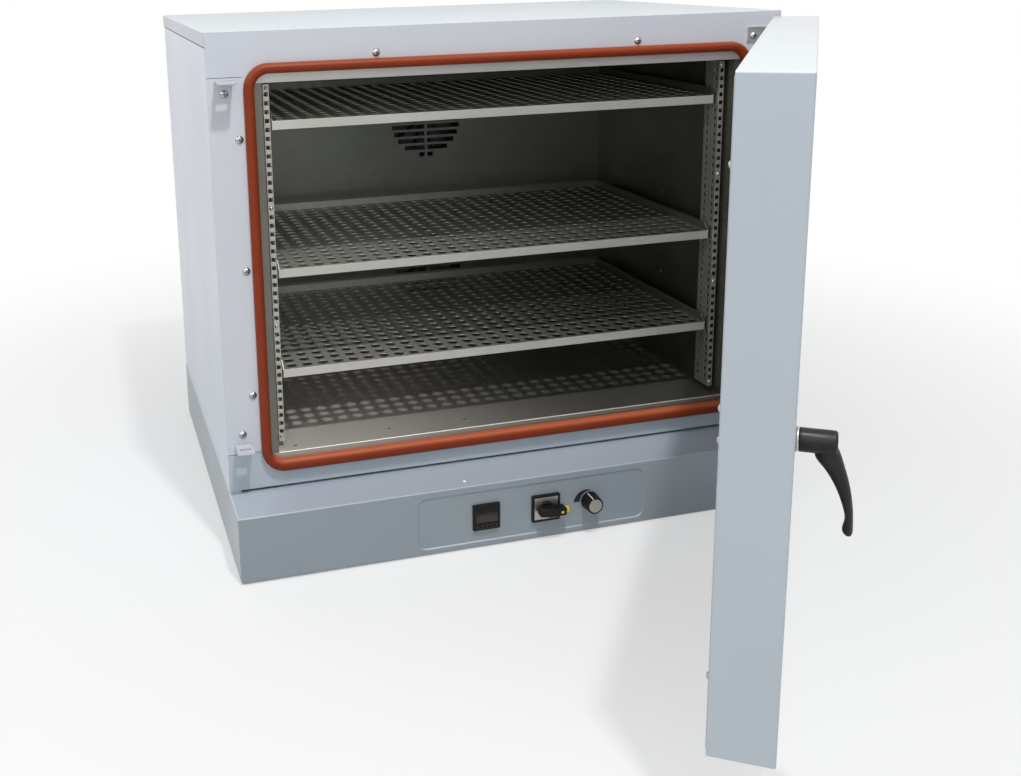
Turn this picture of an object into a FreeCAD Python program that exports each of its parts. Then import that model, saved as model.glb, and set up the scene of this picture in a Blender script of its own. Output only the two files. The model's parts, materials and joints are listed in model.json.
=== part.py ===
import FreeCAD
import Part
import math
import os

os.makedirs("parts", exist_ok=True)
Vector = FreeCAD.Vector
right_way = Vector(1, 0, 0)
back_way = Vector(0, 1, 0)
up_way = Vector(0, 0, 1)
half = 0.5
quarter = 0.25
full_turn = 360.0
parallel_limit = 0.999

# General: lengths in millimetres
overrun = 5.0
seat_gap = 0.3
running_gap = 0.08
casing_sheet = 1.5
chamber_sheet = 1.0

# Cabinet: origin under the middle of the base, front towards -Y
cabinet_width = 1040.0
body_depth = 720.0
ledge_depth = 100.0
base_height = 121.0
body_height = 790.0
base_front = -(body_depth + ledge_depth) * half
body_front = base_front + ledge_depth
cabinet_back = -base_front
cabinet_side = cabinet_width * half
cabinet_top = base_height + body_height

# Base
base_edge_radius = 2.4
base_bottom_radius = 8.0
base_return = 25.0
bottom_overlap = 12.0
vent_slot_length = 60.0
vent_slot_width = 5.0
vent_slot_pitch = 14.0
vent_slot_rows = 8
vent_group_offset = 220.0

# Control recess in the base front
recess_centre = 5.0
recess_width = 426.0
recess_low = 15.0
recess_high = 107.0
recess_radius = 15.0
recess_depth = 2.0
recess_slope = 2.0
control_plane = base_front + recess_depth

# Temperature controller
controller_centre = -85.0
controls_height = 60.0
controller_width = 50.0
controller_height = 48.0
controller_proud = 6.0
controller_body_side = 45.0
controller_body_depth = 78.0
controller_edge = 1.6
window_width = 40.0
window_height = 29.0
window_drop = 4.5
window_thickness = 1.0
button_width = 6.4
button_height = 4.6
button_pitch = 9.0
button_rise = 6.5
button_proud = 1.0
button_depth = 4.0
button_pocket = 4.6
button_count = 4

# Main switch
switch_centre = 27.0
switch_width = 53.0
switch_height = 50.0
switch_proud = 5.0
switch_edge = 2.0
switch_plate_width = 44.0
switch_plate_height = 41.0
switch_plate_thickness = 1.0
switch_body_radius = 20.0
switch_body_depth = 48.0
switch_shaft_radius = 4.0
switch_shaft_depth = 18.0
switch_disc_radius = 14.0
switch_disc_thickness = 4.0
grip_left = 18.0
grip_right = 30.0
grip_height = 18.0
grip_depth = 20.0
grip_tip_height = 14.0
grip_edge = 1.5
tab_length = 7.0
tab_height = 8.0
tab_depth = 9.0
mark_length = 5.0
mark_height = 4.0
mark_thickness = 0.5
mark_inset = 6.0

# Fan speed dial
dial_centre = 113.0
dial_base_radius = 17.0
dial_front_radius = 15.5
dial_length = 25.0
dial_cap_radius = 12.3
dial_cap_thickness = 1.2
dial_shaft_radius = 3.0
dial_shaft_length = 16.0
dial_neck_radius = 5.0
dial_socket_radius = 13.0
dial_socket_depth = 17.0
scale_inner_radius = 19.5
scale_wide_radius = 31.0
scale_middle_radius = 26.5
scale_narrow_radius = 21.0
scale_thickness = 0.3

# Mains inlet gland and power unit
gland_place = 380.0
gland_height = 62.0
gland_radius = 10.0
gland_head_radius = 15.0
gland_head_length = 14.0
gland_bore_radius = 5.0
gland_nut_length = 7.0
nut_sides = 6
power_width = 170.0
power_depth = 120.0
power_height = 64.0
power_place = -300.0
fin_count = 9
fin_thickness = 3.0
fin_height = 22.0

# Casing above the base
side_tray_depth = 20.0
lid_lip = 23.0
lid_edge_radius = 1.3
front_return = 18.0
sill_gap = 5.0
sill_top = 193.0
post_top = 838.0
frame_inner_gap = 0.5
mouth_corner_radius = 22.0
louvre_length = 90.0
louvre_width = 5.0
louvre_pitch = 15.0
louvre_rows = 7

# Chamber
chamber_side = 430.0
chamber_floor_height = 187.0
chamber_roof_height = 827.0
chamber_depth = 555.0
plenum_depth = 612.0
chamber_flange = 22.0
wall_hole_radius = 2.3
wall_hole_places = [70.0, 249.0, 440.0]
wall_hole_low = 287.0
wall_hole_pitch = 84.0
wall_hole_rows = 7
chamber_back_face = body_front + chamber_depth
plenum_face = body_front + plenum_depth

# Fans, grilles and heaters
fan_place = 17.0
fan_heights = [353.0, 675.0]
grille_radius = 78.0
grille_pitch = 15.3
grille_slot_height = 9.6
grille_bar = 6.0
grille_rows = 5
fan_disc_radius = 70.0
fan_disc_thickness = 1.5
fan_hub_radius = 15.0
fan_blade_count = 10
fan_blade_thickness = 1.2
fan_blade_depth = 24.0
fan_front_gap = 14.0
fan_shaft_radius = 4.0
fan_shaft_in_motor = 18.0
shaft_way_radius = 8.0
motor_radius = 38.0
motor_length = 44.0
motor_plate_side = 96.0
motor_plate_thickness = 2.0
heater_ring_radius = 92.0
heater_tube_radius = 4.2
heater_leg_radius = 3.4
heater_leg_angle = 0.2
heater_gap = 26.0
probe_place = 240.0
probe_height = 800.0
probe_radius = 3.0
probe_reach = 65.0
probe_washer_radius = 8.0
probe_washer_thickness = 1.0
probe_tail = 14.0

# Mineral wool slabs
wool_back_thickness = 52.0

# Perforated uprights at the chamber front
upright_setback = 24.0
upright_depth = 48.0
upright_sheet = 1.2
upright_side = 414.5
upright_front_width = 10.0
upright_low = 197.0
upright_high = 822.0
slot_side = 7.2
slot_pitch = 14.75
slot_top = 806.0
slot_count = 41
slot_columns = [11.0, 36.0]
slots_left_out = [13, 27]
upright_screw_radius = 3.3
upright_screw_height = 2.0
upright_end_screw = 10.0

# Shelves and their rails
shelf_side = 410.0
shelf_setback = 34.0
shelf_depth = 482.0
shelf_sheet = 1.2
shelf_lip = 15.0
shelf_flange = 14.0
shelf_flange_slope = 13.0
shelf_hole_radius = 9.3
shelf_hole_pitch = 28.0
shelf_columns = 29
shelf_rows = 17
shelf_tops = [325.0, 505.0, 760.0]
shelf_names = ["shelf_bottom", "shelf_middle", "shelf_top"]
rail_sheet = 1.5
rail_ledge = 14.0
rail_leg = 15.0
rail_hook_reach = 8.0
rail_hook_rise = 6.0
rail_hook_width = 9.0
rail_tab_side = 4.0
rail_tab_drop = 13.0
rail_tab_reach = 2.6

# Door seal round the chamber mouth
seal_side = 460.0
seal_low = 154.0
seal_high = 859.0
seal_width = 17.0
seal_low_width = 22.5
seal_proud = 14.0
seal_corner_radius = 42.0
seal_edge_radius = 6.6

# Latch keepers on the left of the frame
keeper_centre = -491.0
keeper_width = 30.0
keeper_sheet = 2.0
keeper_reach = 45.0
keeper_plate = 36.0
keeper_neck_left = -498.0
keeper_tops = [211.0, 833.0]
keeper_slot_length = 18.0
keeper_slot_width = 7.0
keeper_slot_place = 24.0
keeper_corner = 4.0

# Door
door_half_width = 518.0
door_low = 127.0
door_high = 901.0
door_thickness = 76.0
door_edge_radius = 2.5
door_return = 18.0
door_inner_sheet = 1.2
door_inner_inset = 6.0
door_open_angle = 54.8
door_inner_face = body_front - seal_proud - seat_gap
door_pan_inner = door_inner_face - door_inner_sheet
door_pan_outer = door_pan_inner - door_thickness

# Hinges
pivot_from_end = 14.0
pivot_from_face = 16.0
pin_radius = 5.0
pin_reach = 11.0
bracket_sheet = 2.5
bracket_left = 452.0
bracket_right = 514.0
bracket_plate = 26.5
bracket_stem = 13.0
bracket_tab_tops = [141.5, 883.5]
hinge_slot_gap = 2.5
hinge_slot_depth = 40.0
bush_side = 28.0
bush_height = 12.5
pivot_x = door_half_width - pivot_from_end
pivot_y = door_pan_inner - pivot_from_face

# Latch rods, lock case and pinion
rod_place = -490.0
rod_width = 12.0
rod_thickness = 4.0
rod_travel_gap = 5.0
spindle_x = -458.0
spindle_z = 498.0
spindle_radius = 5.0
tooth_count = 12
tooth_module = 1.5
tooth_addendum = 1.2
tooth_dedendum = 1.6
tooth_thickness = 1.95
tooth_flank = 0.42
pinion_width = 8.0
rack_body = 6.4
rack_reach = 22.0
rack_teeth_each_way = 5
rod_arm_gap = 42.0
rod_arm_height = 12.0
case_sheet = 1.2
case_left = -498.2
case_right = -434.0
case_half_height = 60.0
case_depth = 16.5
guide_places = [248.0, 782.0]
guide_height = 16.0
guide_wall = 2.2
rod_plane = body_front - keeper_slot_place
latch_opening_gap = 5.0

# Clamping lever on the door
ring_radius = 13.5
ring_thickness = 3.0
ring_boss_radius = 9.0
ring_boss_length = 8.0
lever_hub_radius = 13.4
lever_hub_length = 40.0
lever_hub_fillet = 3.0
lever_half_width = 11.0
lever_width_share = [0.95, 0.95, 0.92, 0.88, 0.82, 0.78, 0.85, 0.85, 0.6]
lever_out = [27.0, 34.7, 46.3, 52.5, 56.1, 57.4, 55.9, 56.4, 57.0]
lever_drop = [5.5, 17.0, 40.5, 59.1, 76.8, 86.5, 95.0, 100.5, 104.5]
lever_half_height = [13.6, 11.7, 8.7, 6.5, 4.9, 4.1, 6.2, 5.7, 3.0]
lever_lean = [0.55, 0.5, 0.37, 0.29, 0.145, 0.0, 0.0, 0.0, 0.0]

# Screws
screw_radius = 7.0
screw_height = 4.4
screw_slot_width = 1.4
screw_slot_length = 7.5
screw_slot_depth = 1.6
door_screw_radius = 5.0
door_screw_height = 3.0
frame_screw_x = 470.0
frame_screw_heights = [297.0, 516.0, 737.0]
top_screw_x = 237.0
top_screw_height = 868.0
keeper_screw_heights = [228.0, 812.0]
bracket_screw_places = [465.0, 499.0]
bracket_screw_drop = 15.5
ledge_screw_x = -116.0
ledge_screw_y = -385.0
ledge_screw_radius = 4.0
ledge_screw_height = 1.8
back_screw_inset = 12.0
back_screw_rows = 3
door_screw_inset = 13.0
door_side_screws = [222.0, 507.0, 543.0, 805.0]
door_top_screws = [-250.0, 0.0, 250.0]

# Door insulation
door_wool_left = -432.0
door_wool_right = 480.0
door_wool_margin = 30.0


def block(x0, x1, y0, y1, z0, z1):
    return Part.makeBox(x1 - x0, y1 - y0, z1 - z0, Vector(x0, y0, z0))


def cylinder(radius, length, base, way):
    return Part.makeCylinder(radius, length, base, way)


def joined(shapes):
    whole = shapes[0]
    for shape in shapes[1:]:
        whole = whole.fuse(shape)
    return whole.removeSplitter()


def group(shapes):
    return Part.makeCompound(shapes)


def mirrored(shape):
    return shape.mirror(Vector(0, 0, 0), right_way)


def rounded_outline(x0, x1, z0, z1, radius, y):
    turn = radius * (1 - math.sqrt(half))
    left = Vector(x0, y, z0 + radius)
    points = [
        (left, Vector(x0, y, z1 - radius), Vector(x0 + turn, y, z1 - turn), Vector(x0 + radius, y, z1)),
        (Vector(x0 + radius, y, z1), Vector(x1 - radius, y, z1), Vector(x1 - turn, y, z1 - turn),
         Vector(x1, y, z1 - radius)),
        (Vector(x1, y, z1 - radius), Vector(x1, y, z0 + radius), Vector(x1 - turn, y, z0 + turn),
         Vector(x1 - radius, y, z0)),
        (Vector(x1 - radius, y, z0), Vector(x0 + radius, y, z0), Vector(x0 + turn, y, z0 + turn), left),
    ]
    edges = []
    for start, straight_end, middle, end in points:
        edges.append(Part.makeLine(start, straight_end))
        edges.append(Part.Arc(straight_end, middle, end).toShape())
    return Part.Wire(edges)


def rounded_slab(x0, x1, z0, z1, radius, y0, y1):
    face = Part.Face(rounded_outline(x0, x1, z0, z1, radius, y0))
    return face.extrude(Vector(0, y1 - y0, 0))


def edges_along(shape, way, keep):
    found = []
    for edge in shape.Edges:
        ends = [vertex.Point for vertex in edge.Vertexes]
        if len(ends) != 2:
            continue
        slant = abs((ends[1] - ends[0]).normalize().dot(way))
        if slant > parallel_limit and keep(ends[0]):
            found.append(edge)
    return found


def slot_grid(x_centre, z_low, rows, pitch, length, width, y0, y1):
    cuts = []
    for row in range(rows):
        z = z_low + row * pitch
        cuts.append(block(x_centre - length * half, x_centre + length * half, y0, y1,
                          z - width * half, z + width * half))
    return cuts


def base_shell():
    outer = block(-cabinet_side, cabinet_side, base_front, cabinet_back, 0, base_height)
    upright_edges = edges_along(outer, up_way, lambda point: True)
    high_edges = edges_along(outer, right_way, lambda point: point.z > base_height * half)
    high_edges += edges_along(outer, back_way, lambda point: point.z > base_height * half)
    outer = outer.makeFillet(base_edge_radius, upright_edges + high_edges)
    low_edges = [edge for edge in outer.Edges if edge.BoundBox.ZMax < overrun * quarter]
    outer = outer.makeFillet(base_bottom_radius, low_edges)
    inset = casing_sheet
    inner = block(-cabinet_side + inset, cabinet_side - inset, base_front + inset, cabinet_back - inset,
                  inset, base_height - inset)
    inner_low = [edge for edge in inner.Edges if edge.BoundBox.ZMax < inset + overrun * quarter]
    inner = inner.makeFillet(base_bottom_radius - inset, inner_low)
    opening = base_opening(0, -overrun, base_height * half)
    pad = rounded_slab(recess_centre - recess_width * half - recess_slope,
                       recess_centre + recess_width * half + recess_slope, recess_low - recess_slope,
                       recess_high + recess_slope, recess_radius + recess_slope,
                       base_front + casing_sheet * half, control_plane + casing_sheet)
    shell = outer.cut(inner).cut(opening).fuse(pad)
    return shell.cut(recess_pocket()).cut(group(control_openings())).removeSplitter()


def base_opening(margin, z0, z1):
    reach = base_return - margin
    side = cabinet_side - reach
    return block(-side, side, base_front + reach, cabinet_back - reach, z0, z1)


def recess_pocket():
    x0 = recess_centre - recess_width * half
    x1 = recess_centre + recess_width * half
    slope = recess_slope
    wide = rounded_outline(x0 - slope, x1 + slope, recess_low - slope, recess_high + slope,
                           recess_radius + slope, base_front)
    narrow = rounded_outline(x0, x1, recess_low, recess_high, recess_radius, control_plane)
    return Part.makeLoft([wide, narrow], True)


def control_openings():
    y0 = base_front - overrun
    y1 = control_plane + casing_sheet + overrun
    side = controller_body_side * half + seat_gap
    depth = y1 - y0
    gland_y = cabinet_back - casing_sheet - overrun
    return [
        block(controller_centre - side, controller_centre + side, y0, y1,
              controls_height - side, controls_height + side),
        cylinder(switch_body_radius + seat_gap, depth, Vector(switch_centre, y0, controls_height), back_way),
        cylinder(dial_neck_radius + seat_gap, depth, Vector(dial_centre, y0, controls_height), back_way),
        cylinder(gland_radius + seat_gap, casing_sheet + overrun + overrun,
                 Vector(gland_place, gland_y, gland_height), back_way),
    ]


def base_bottom():
    panel = base_opening(-seat_gap, 0, casing_sheet)
    rim = base_opening(bottom_overlap, casing_sheet, casing_sheet + casing_sheet)
    rim = rim.cut(base_opening(-bottom_overlap, 0, base_height))
    whole = panel.fuse(rim)
    cuts = []
    for side in (-1, 1):
        for row in range(vent_slot_rows):
            y = (row - (vent_slot_rows - 1) * half) * vent_slot_pitch
            x = side * vent_group_offset
            cuts.append(block(x - vent_slot_length * half, x + vent_slot_length * half,
                              y - vent_slot_width * half, y + vent_slot_width * half, -overrun, overrun))
    return whole.cut(group(cuts)).removeSplitter()


def power_unit():
    y0 = -power_depth * half
    low = casing_sheet
    body = block(power_place, power_place + power_width, y0, -y0, low, low + power_height - fin_height)
    parts = [body]
    step = (power_width - fin_thickness) / (fin_count - 1)
    for index in range(fin_count):
        x = power_place + index * step
        parts.append(block(x, x + fin_thickness, y0, -y0, low, low + power_height))
    return joined(parts)


def cable_gland():
    back = cabinet_back
    axis = Vector(gland_place, back, gland_height)
    head = cylinder(gland_head_radius, gland_head_length, axis, back_way)
    end = [edge for edge in head.Edges if edge.BoundBox.YMin > back + gland_head_length * half]
    head = head.makeFillet(gland_head_length * quarter, [end[0]])
    inner_length = casing_sheet + gland_nut_length
    inner_end = Vector(gland_place, back - inner_length, gland_height)
    stem = cylinder(gland_radius, inner_length, inner_end, back_way)
    nut = hexagon_bar(gland_head_radius, inner_end, gland_nut_length)
    bore = cylinder(gland_bore_radius, gland_head_length + inner_length + overrun,
                    Vector(gland_place, back - inner_length - overrun * half, gland_height), back_way)
    return joined([head, stem, nut]).cut(bore)


def hexagon_bar(radius, centre, length):
    points = []
    for index in range(nut_sides + 1):
        angle = math.tau * index / nut_sides
        points.append(centre + Vector(radius * math.cos(angle), 0, radius * math.sin(angle)))
    return Part.Face(Part.makePolygon(points)).extrude(Vector(0, length, 0))


def side_panel_left():
    x0 = -cabinet_side + casing_sheet
    x1 = x0 + side_tray_depth
    y0 = body_front + casing_sheet
    y1 = cabinet_back - casing_sheet - casing_sheet
    z1 = cabinet_top - casing_sheet
    tray = block(x0, x1, y0, y1, base_height, z1)
    hollow = block(x0 + casing_sheet, x1 + overrun, y0 + casing_sheet, y1 - casing_sheet,
                   base_height + casing_sheet, z1 - casing_sheet)
    return tray.cut(hollow)


def top_cover():
    y1 = cabinet_back
    outer = block(-cabinet_side, cabinet_side, body_front, y1, cabinet_top - lid_lip, cabinet_top)
    high = [edge for edge in outer.Edges if edge.BoundBox.ZMin > cabinet_top - seat_gap]
    corners = edges_along(outer, up_way, lambda point: point.y > 0)
    outer = outer.makeFillet(lid_edge_radius, high + corners)
    inner = block(-cabinet_side + casing_sheet, cabinet_side - casing_sheet, body_front - overrun,
                  y1 - casing_sheet, cabinet_top - lid_lip - overrun, cabinet_top - casing_sheet)
    return outer.cut(inner)


def back_panel():
    y1 = cabinet_back - casing_sheet
    y0 = y1 - casing_sheet
    side = cabinet_side - casing_sheet
    panel = block(-side, side, y0, y1, base_height, cabinet_top - casing_sheet)
    cuts = []
    reach = (louvre_rows - 1) * louvre_pitch * half
    for height in fan_heights:
        for column in (-1, 1):
            x = fan_place + column * (louvre_length * half + louvre_pitch)
            cuts += slot_grid(x, height - reach, louvre_rows, louvre_pitch, louvre_length, louvre_width,
                              y0 - overrun, y1 + overrun)
    return panel.cut(group(cuts))


def mouth_opening():
    side = chamber_side + chamber_flange + frame_inner_gap
    reach = chamber_flange + frame_inner_gap
    return rounded_slab(-side, side, chamber_floor_height - reach, chamber_roof_height + reach,
                        mouth_corner_radius, body_front - overrun, body_front + front_return + overrun)


def front_plate(x0, x1, z0, z1):
    return block(x0, x1, body_front, body_front + casing_sheet, z0, z1)


def front_top():
    side = cabinet_side - casing_sheet
    high = cabinet_top - casing_sheet
    plate = front_plate(-side, side, post_top, high)
    y1 = body_front + front_return
    fold = block(-chamber_side, chamber_side, body_front, y1, high - casing_sheet, high)
    return plate.fuse(fold).cut(mouth_opening()).removeSplitter()


def front_post():
    side = cabinet_side - casing_sheet
    plate = front_plate(-side, -chamber_side, sill_top, post_top)
    return plate.cut(mouth_opening())


def front_post_left():
    return front_post().cut(group(keeper_ways()))


def front_sill():
    side = cabinet_side - casing_sheet
    low = base_height + sill_gap
    plate = front_plate(-side, side, low, sill_top)
    fold = block(-chamber_side, chamber_side, body_front, body_front + front_return, low, low + casing_sheet)
    return plate.fuse(fold).cut(mouth_opening()).removeSplitter()


def chamber_floor():
    side = chamber_side + chamber_sheet
    low = chamber_floor_height - chamber_sheet
    plate = block(-side, side, body_front, plenum_face, low, chamber_floor_height)
    return plate.fuse(chamber_lip(chamber_floor_height - chamber_flange)).removeSplitter()


def chamber_roof():
    side = chamber_side + chamber_sheet
    high = chamber_roof_height + chamber_sheet
    plate = block(-side, side, body_front, plenum_face, chamber_roof_height, high)
    return plate.fuse(chamber_lip(chamber_roof_height)).removeSplitter()


def chamber_lip(low):
    side = chamber_side + chamber_flange
    y1 = body_front + chamber_sheet
    rim = rounded_slab(-side, side, chamber_floor_height - chamber_flange,
                       chamber_roof_height + chamber_flange, mouth_corner_radius - frame_inner_gap,
                       body_front, y1)
    return rim.common(block(-side, side, body_front, y1, low, low + chamber_flange))


def chamber_left():
    side = chamber_side
    low = chamber_floor_height
    high = chamber_roof_height
    plate = block(-side - chamber_sheet, -side, body_front, plenum_face, low, high)
    lip = block(-side - chamber_flange, -side, body_front, body_front + chamber_sheet, low, high)
    cuts = []
    for place in wall_hole_places:
        for row in range(wall_hole_rows):
            z = wall_hole_low + row * wall_hole_pitch
            start = Vector(-side - chamber_sheet - overrun, body_front + place, z)
            cuts.append(cylinder(wall_hole_radius, chamber_sheet + overrun + overrun, start, right_way))
    return plate.fuse(lip).cut(group(cuts)).removeSplitter()


def grille_slots(height, y0, y1):
    cuts = []
    for row in range(-grille_rows, grille_rows + 1):
        offset = row * grille_pitch
        reach = math.sqrt(grille_radius ** 2 - offset ** 2)
        z0 = height + offset - grille_slot_height * half
        z1 = z0 + grille_slot_height
        cuts.append(block(fan_place - reach, fan_place - grille_bar * half, y0, y1, z0, z1))
        cuts.append(block(fan_place + grille_bar * half, fan_place + reach, y0, y1, z0, z1))
    return cuts


def chamber_back():
    y0 = chamber_back_face
    y1 = y0 + chamber_sheet
    plate = block(-chamber_side, chamber_side, y0, y1, chamber_floor_height, chamber_roof_height)
    cuts = [cylinder(probe_radius + seat_gap, chamber_sheet + overrun + overrun,
                     Vector(probe_place, y0 - overrun, probe_height), back_way)]
    for height in fan_heights:
        cuts += grille_slots(height, y0 - overrun, y1 + overrun)
    return plate.cut(group(cuts))


def plenum_back():
    side = chamber_side + chamber_sheet
    plate = block(-side, side, plenum_face, plenum_face + chamber_sheet,
                  chamber_floor_height - chamber_sheet, chamber_roof_height + chamber_sheet)
    return plate.cut(group(shaft_ways(shaft_way_radius)))


def shaft_ways(radius):
    start = plenum_face - overrun
    length = chamber_sheet + wool_back_thickness + overrun + overrun
    return [cylinder(radius, length, Vector(fan_place, start, height), back_way) for height in fan_heights]


def insulation():
    x0 = -cabinet_side + casing_sheet + side_tray_depth
    x1 = -chamber_side - chamber_sheet
    y0 = body_front + casing_sheet + keeper_sheet
    y1 = plenum_face + chamber_sheet
    inner_y = body_front + front_return
    high = cabinet_top - casing_sheet - casing_sheet
    low = base_height
    side_low = low + sill_gap + casing_sheet
    left = block(x0, x1, y0, y1, side_low, high)
    top = block(x1, -x1, inner_y, y1, chamber_roof_height + chamber_sheet, high)
    bottom = block(x1, -x1, inner_y, y1, low, chamber_floor_height - chamber_sheet)
    back = block(x0, -x0, y1, y1 + wool_back_thickness, low, high)
    back = back.cut(group(shaft_ways(shaft_way_radius)))
    return group([left, mirrored(left), top, bottom, back])


def fan_wheel(height):
    front = chamber_back_face + fan_front_gap
    disc_y = front + fan_blade_depth
    axis = Vector(fan_place, disc_y, height)
    disc = cylinder(fan_disc_radius, fan_disc_thickness, axis, back_way)
    hub_start = Vector(fan_place, front, height)
    hub = cylinder(fan_hub_radius, fan_blade_depth + fan_disc_thickness, hub_start, back_way)
    motor_face = plenum_face + chamber_sheet + wool_back_thickness
    shaft_length = motor_face + fan_shaft_in_motor - front
    shaft = cylinder(fan_shaft_radius, shaft_length, hub_start, back_way)
    parts = [disc, hub, shaft]
    reach = fan_disc_radius - fan_blade_thickness
    blade = block(fan_hub_radius - fan_blade_thickness, reach, front, disc_y + fan_disc_thickness * half,
                  -fan_blade_thickness * half, fan_blade_thickness * half)
    for index in range(fan_blade_count):
        turned = blade.copy()
        turned.rotate(Vector(0, 0, 0), back_way, index * full_turn / fan_blade_count)
        turned.translate(Vector(fan_place, 0, height))
        parts.append(turned)
    return joined(parts)


def fan_motors():
    face = plenum_face + chamber_sheet + wool_back_thickness
    motors = []
    for height in fan_heights:
        axis = Vector(fan_place, face, height)
        can = cylinder(motor_radius, motor_length, axis, back_way)
        rim = [edge for edge in can.Edges if edge.BoundBox.YMin > face + motor_length * half]
        can = can.makeFillet(motor_plate_thickness, [rim[0]])
        side = motor_plate_side * half
        plate = block(fan_place - side, fan_place + side, face, face + motor_plate_thickness,
                      height - side, height + side)
        bore = cylinder(fan_shaft_radius + running_gap, fan_shaft_in_motor + overrun,
                        Vector(fan_place, face - overrun * half, height), back_way)
        motors.append(can.fuse(plate).cut(bore).removeSplitter())
    return group(motors)


def heaters():
    rings = []
    y = chamber_back_face + heater_gap
    for height in fan_heights:
        ring = Part.makeTorus(heater_ring_radius, heater_tube_radius, Vector(fan_place, y, height), back_way)
        parts = [ring]
        for side in (-1, 1):
            x = fan_place + heater_ring_radius * math.sin(side * heater_leg_angle)
            z = height - heater_ring_radius * math.cos(heater_leg_angle)
            parts.append(cylinder(heater_leg_radius, plenum_face - y, Vector(x, y, z), back_way))
        rings.append(joined(parts))
    return group(rings)


def temperature_probe():
    y = chamber_back_face
    tube = cylinder(probe_radius, probe_reach + chamber_sheet + probe_tail,
                    Vector(probe_place, y - probe_reach, probe_height), back_way)
    washer = cylinder(probe_washer_radius, probe_washer_thickness,
                      Vector(probe_place, y - probe_washer_thickness, probe_height), back_way)
    return joined([tube, washer])


def upright_left():
    x1 = -upright_side
    y0 = body_front + upright_setback
    y1 = y0 + upright_depth
    sheet = upright_sheet
    front = block(x1 - upright_front_width, x1, y0, y0 + sheet, upright_low, upright_high)
    side = block(x1 - sheet, x1, y0, y1, upright_low, upright_high)
    rear = block(-chamber_side, x1, y1 - sheet, y1, upright_low, upright_high)
    whole = joined([front, side, rear])
    return whole.cut(group(upright_slots(x1, y0)))


def upright_slots(x1, y0):
    cuts = []
    reach = slot_side * half
    centre = x1 - upright_front_width * half
    for index in range(slot_count):
        z = slot_top - index * slot_pitch
        if index not in slots_left_out:
            x0 = centre - reach
            cuts.append(block(x0, centre + reach, y0 - overrun, y0 + overrun, z - reach, z + reach))
        for column in slot_columns:
            y = y0 + column
            cuts.append(block(x1 - overrun, x1 + overrun, y - reach, y + reach, z - reach, z + reach))
    return cuts


def upright_screws():
    heads = []
    centre = upright_side + upright_front_width * half
    y = body_front + upright_setback
    heights = [slot_top - index * slot_pitch for index in slots_left_out]
    heights += [slot_top + upright_end_screw, slot_top - (slot_count - 1) * slot_pitch - upright_end_screw]
    for side in (-1, 1):
        for z in heights:
            place = Vector(side * centre, y, z)
            heads.append(dome(upright_screw_radius, upright_screw_height, place, -back_way))
    return group(heads)


def dome(radius, height, centre, way):
    ball_radius = (radius ** 2 + height ** 2) / (height + height)
    ball = Part.makeSphere(ball_radius, centre + way * (height - ball_radius))
    return ball.common(cylinder(radius, height, centre, way))


def shelf(top):
    y0 = body_front + shelf_setback
    y1 = y0 + shelf_depth
    low = top - shelf_sheet
    plate = perforated_plate(y0, y1, low)
    lip = block(-shelf_side, shelf_side, y0, y0 + shelf_sheet, top - shelf_lip, top)
    rear = block(-shelf_side, shelf_side, y1 - shelf_sheet, y1, low, top + shelf_flange)
    left = shelf_side_flange(y0, y1, top)
    return joined([plate, lip, rear, left, mirrored(left)])


def shelf_side_flange(y0, y1, top):
    x = -shelf_side
    low = top - shelf_sheet
    high = top + shelf_flange
    points = [Vector(x, y0, low), Vector(x, y1, low), Vector(x, y1, high),
              Vector(x, y0 + shelf_flange_slope, high), Vector(x, y0, top), Vector(x, y0, low)]
    return Part.Face(Part.makePolygon(points)).extrude(Vector(shelf_sheet, 0, 0))


def perforated_plate(y0, y1, low):
    corners = [Vector(-shelf_side, y0, low), Vector(shelf_side, y0, low), Vector(shelf_side, y1, low),
               Vector(-shelf_side, y1, low), Vector(-shelf_side, y0, low)]
    outline = Part.makePolygon(corners)
    wires = [outline]
    x_first = -(shelf_columns - 1) * shelf_hole_pitch * half
    y_first = (y0 + y1) * half - (shelf_rows - 1) * shelf_hole_pitch * half
    for column in range(shelf_columns):
        for row in range(shelf_rows):
            centre = Vector(x_first + column * shelf_hole_pitch, y_first + row * shelf_hole_pitch, low)
            wires.append(Part.Wire(Part.makeCircle(shelf_hole_radius, centre, up_way)))
    face = Part.Face(wires, "Part::FaceMakerBullseye")
    return face.extrude(Vector(0, 0, shelf_sheet))


def shelf_rail_left(top):
    x0 = -upright_side
    y0 = body_front + shelf_setback + shelf_sheet + seat_gap
    y1 = chamber_back_face
    low = top - shelf_sheet
    ledge = block(x0, x0 + rail_ledge, y0, y1, low - rail_sheet, low)
    leg = block(x0, x0 + rail_sheet, y0 - rail_hook_reach, y1, top - rail_leg, low)
    hook = block(x0, x0 + rail_sheet, y0 - rail_hook_reach, y0 - rail_hook_reach + rail_hook_width,
                 top - rail_leg, top + rail_hook_rise)
    parts = [ledge, leg, hook]
    tab = rail_tab_side * half
    row = round((slot_top - top + rail_tab_drop) / slot_pitch)
    z = slot_top - row * slot_pitch
    y = body_front + upright_setback + slot_columns[1]
    parts.append(block(x0 - rail_tab_reach, x0, y - tab, y + tab, z - tab, z + tab))
    return joined(parts)


def shelf_rails():
    rails = []
    for top in shelf_tops:
        left = shelf_rail_left(top)
        rails += [left, mirrored(left)]
    return group(rails)


def door_seal():
    y0 = body_front - seal_proud
    outer = rounded_slab(-seal_side, seal_side, seal_low, seal_high, seal_corner_radius, y0, body_front)
    inner = rounded_slab(-seal_side + seal_width, seal_side - seal_width, seal_low + seal_low_width,
                         seal_high - seal_width, seal_corner_radius - seal_width,
                         y0 - overrun, body_front + overrun)
    ring = outer.cut(inner)
    front = [edge for edge in ring.Edges if edge.BoundBox.YMax < y0 + seat_gap]
    return ring.makeFillet(seal_edge_radius, front)


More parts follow.
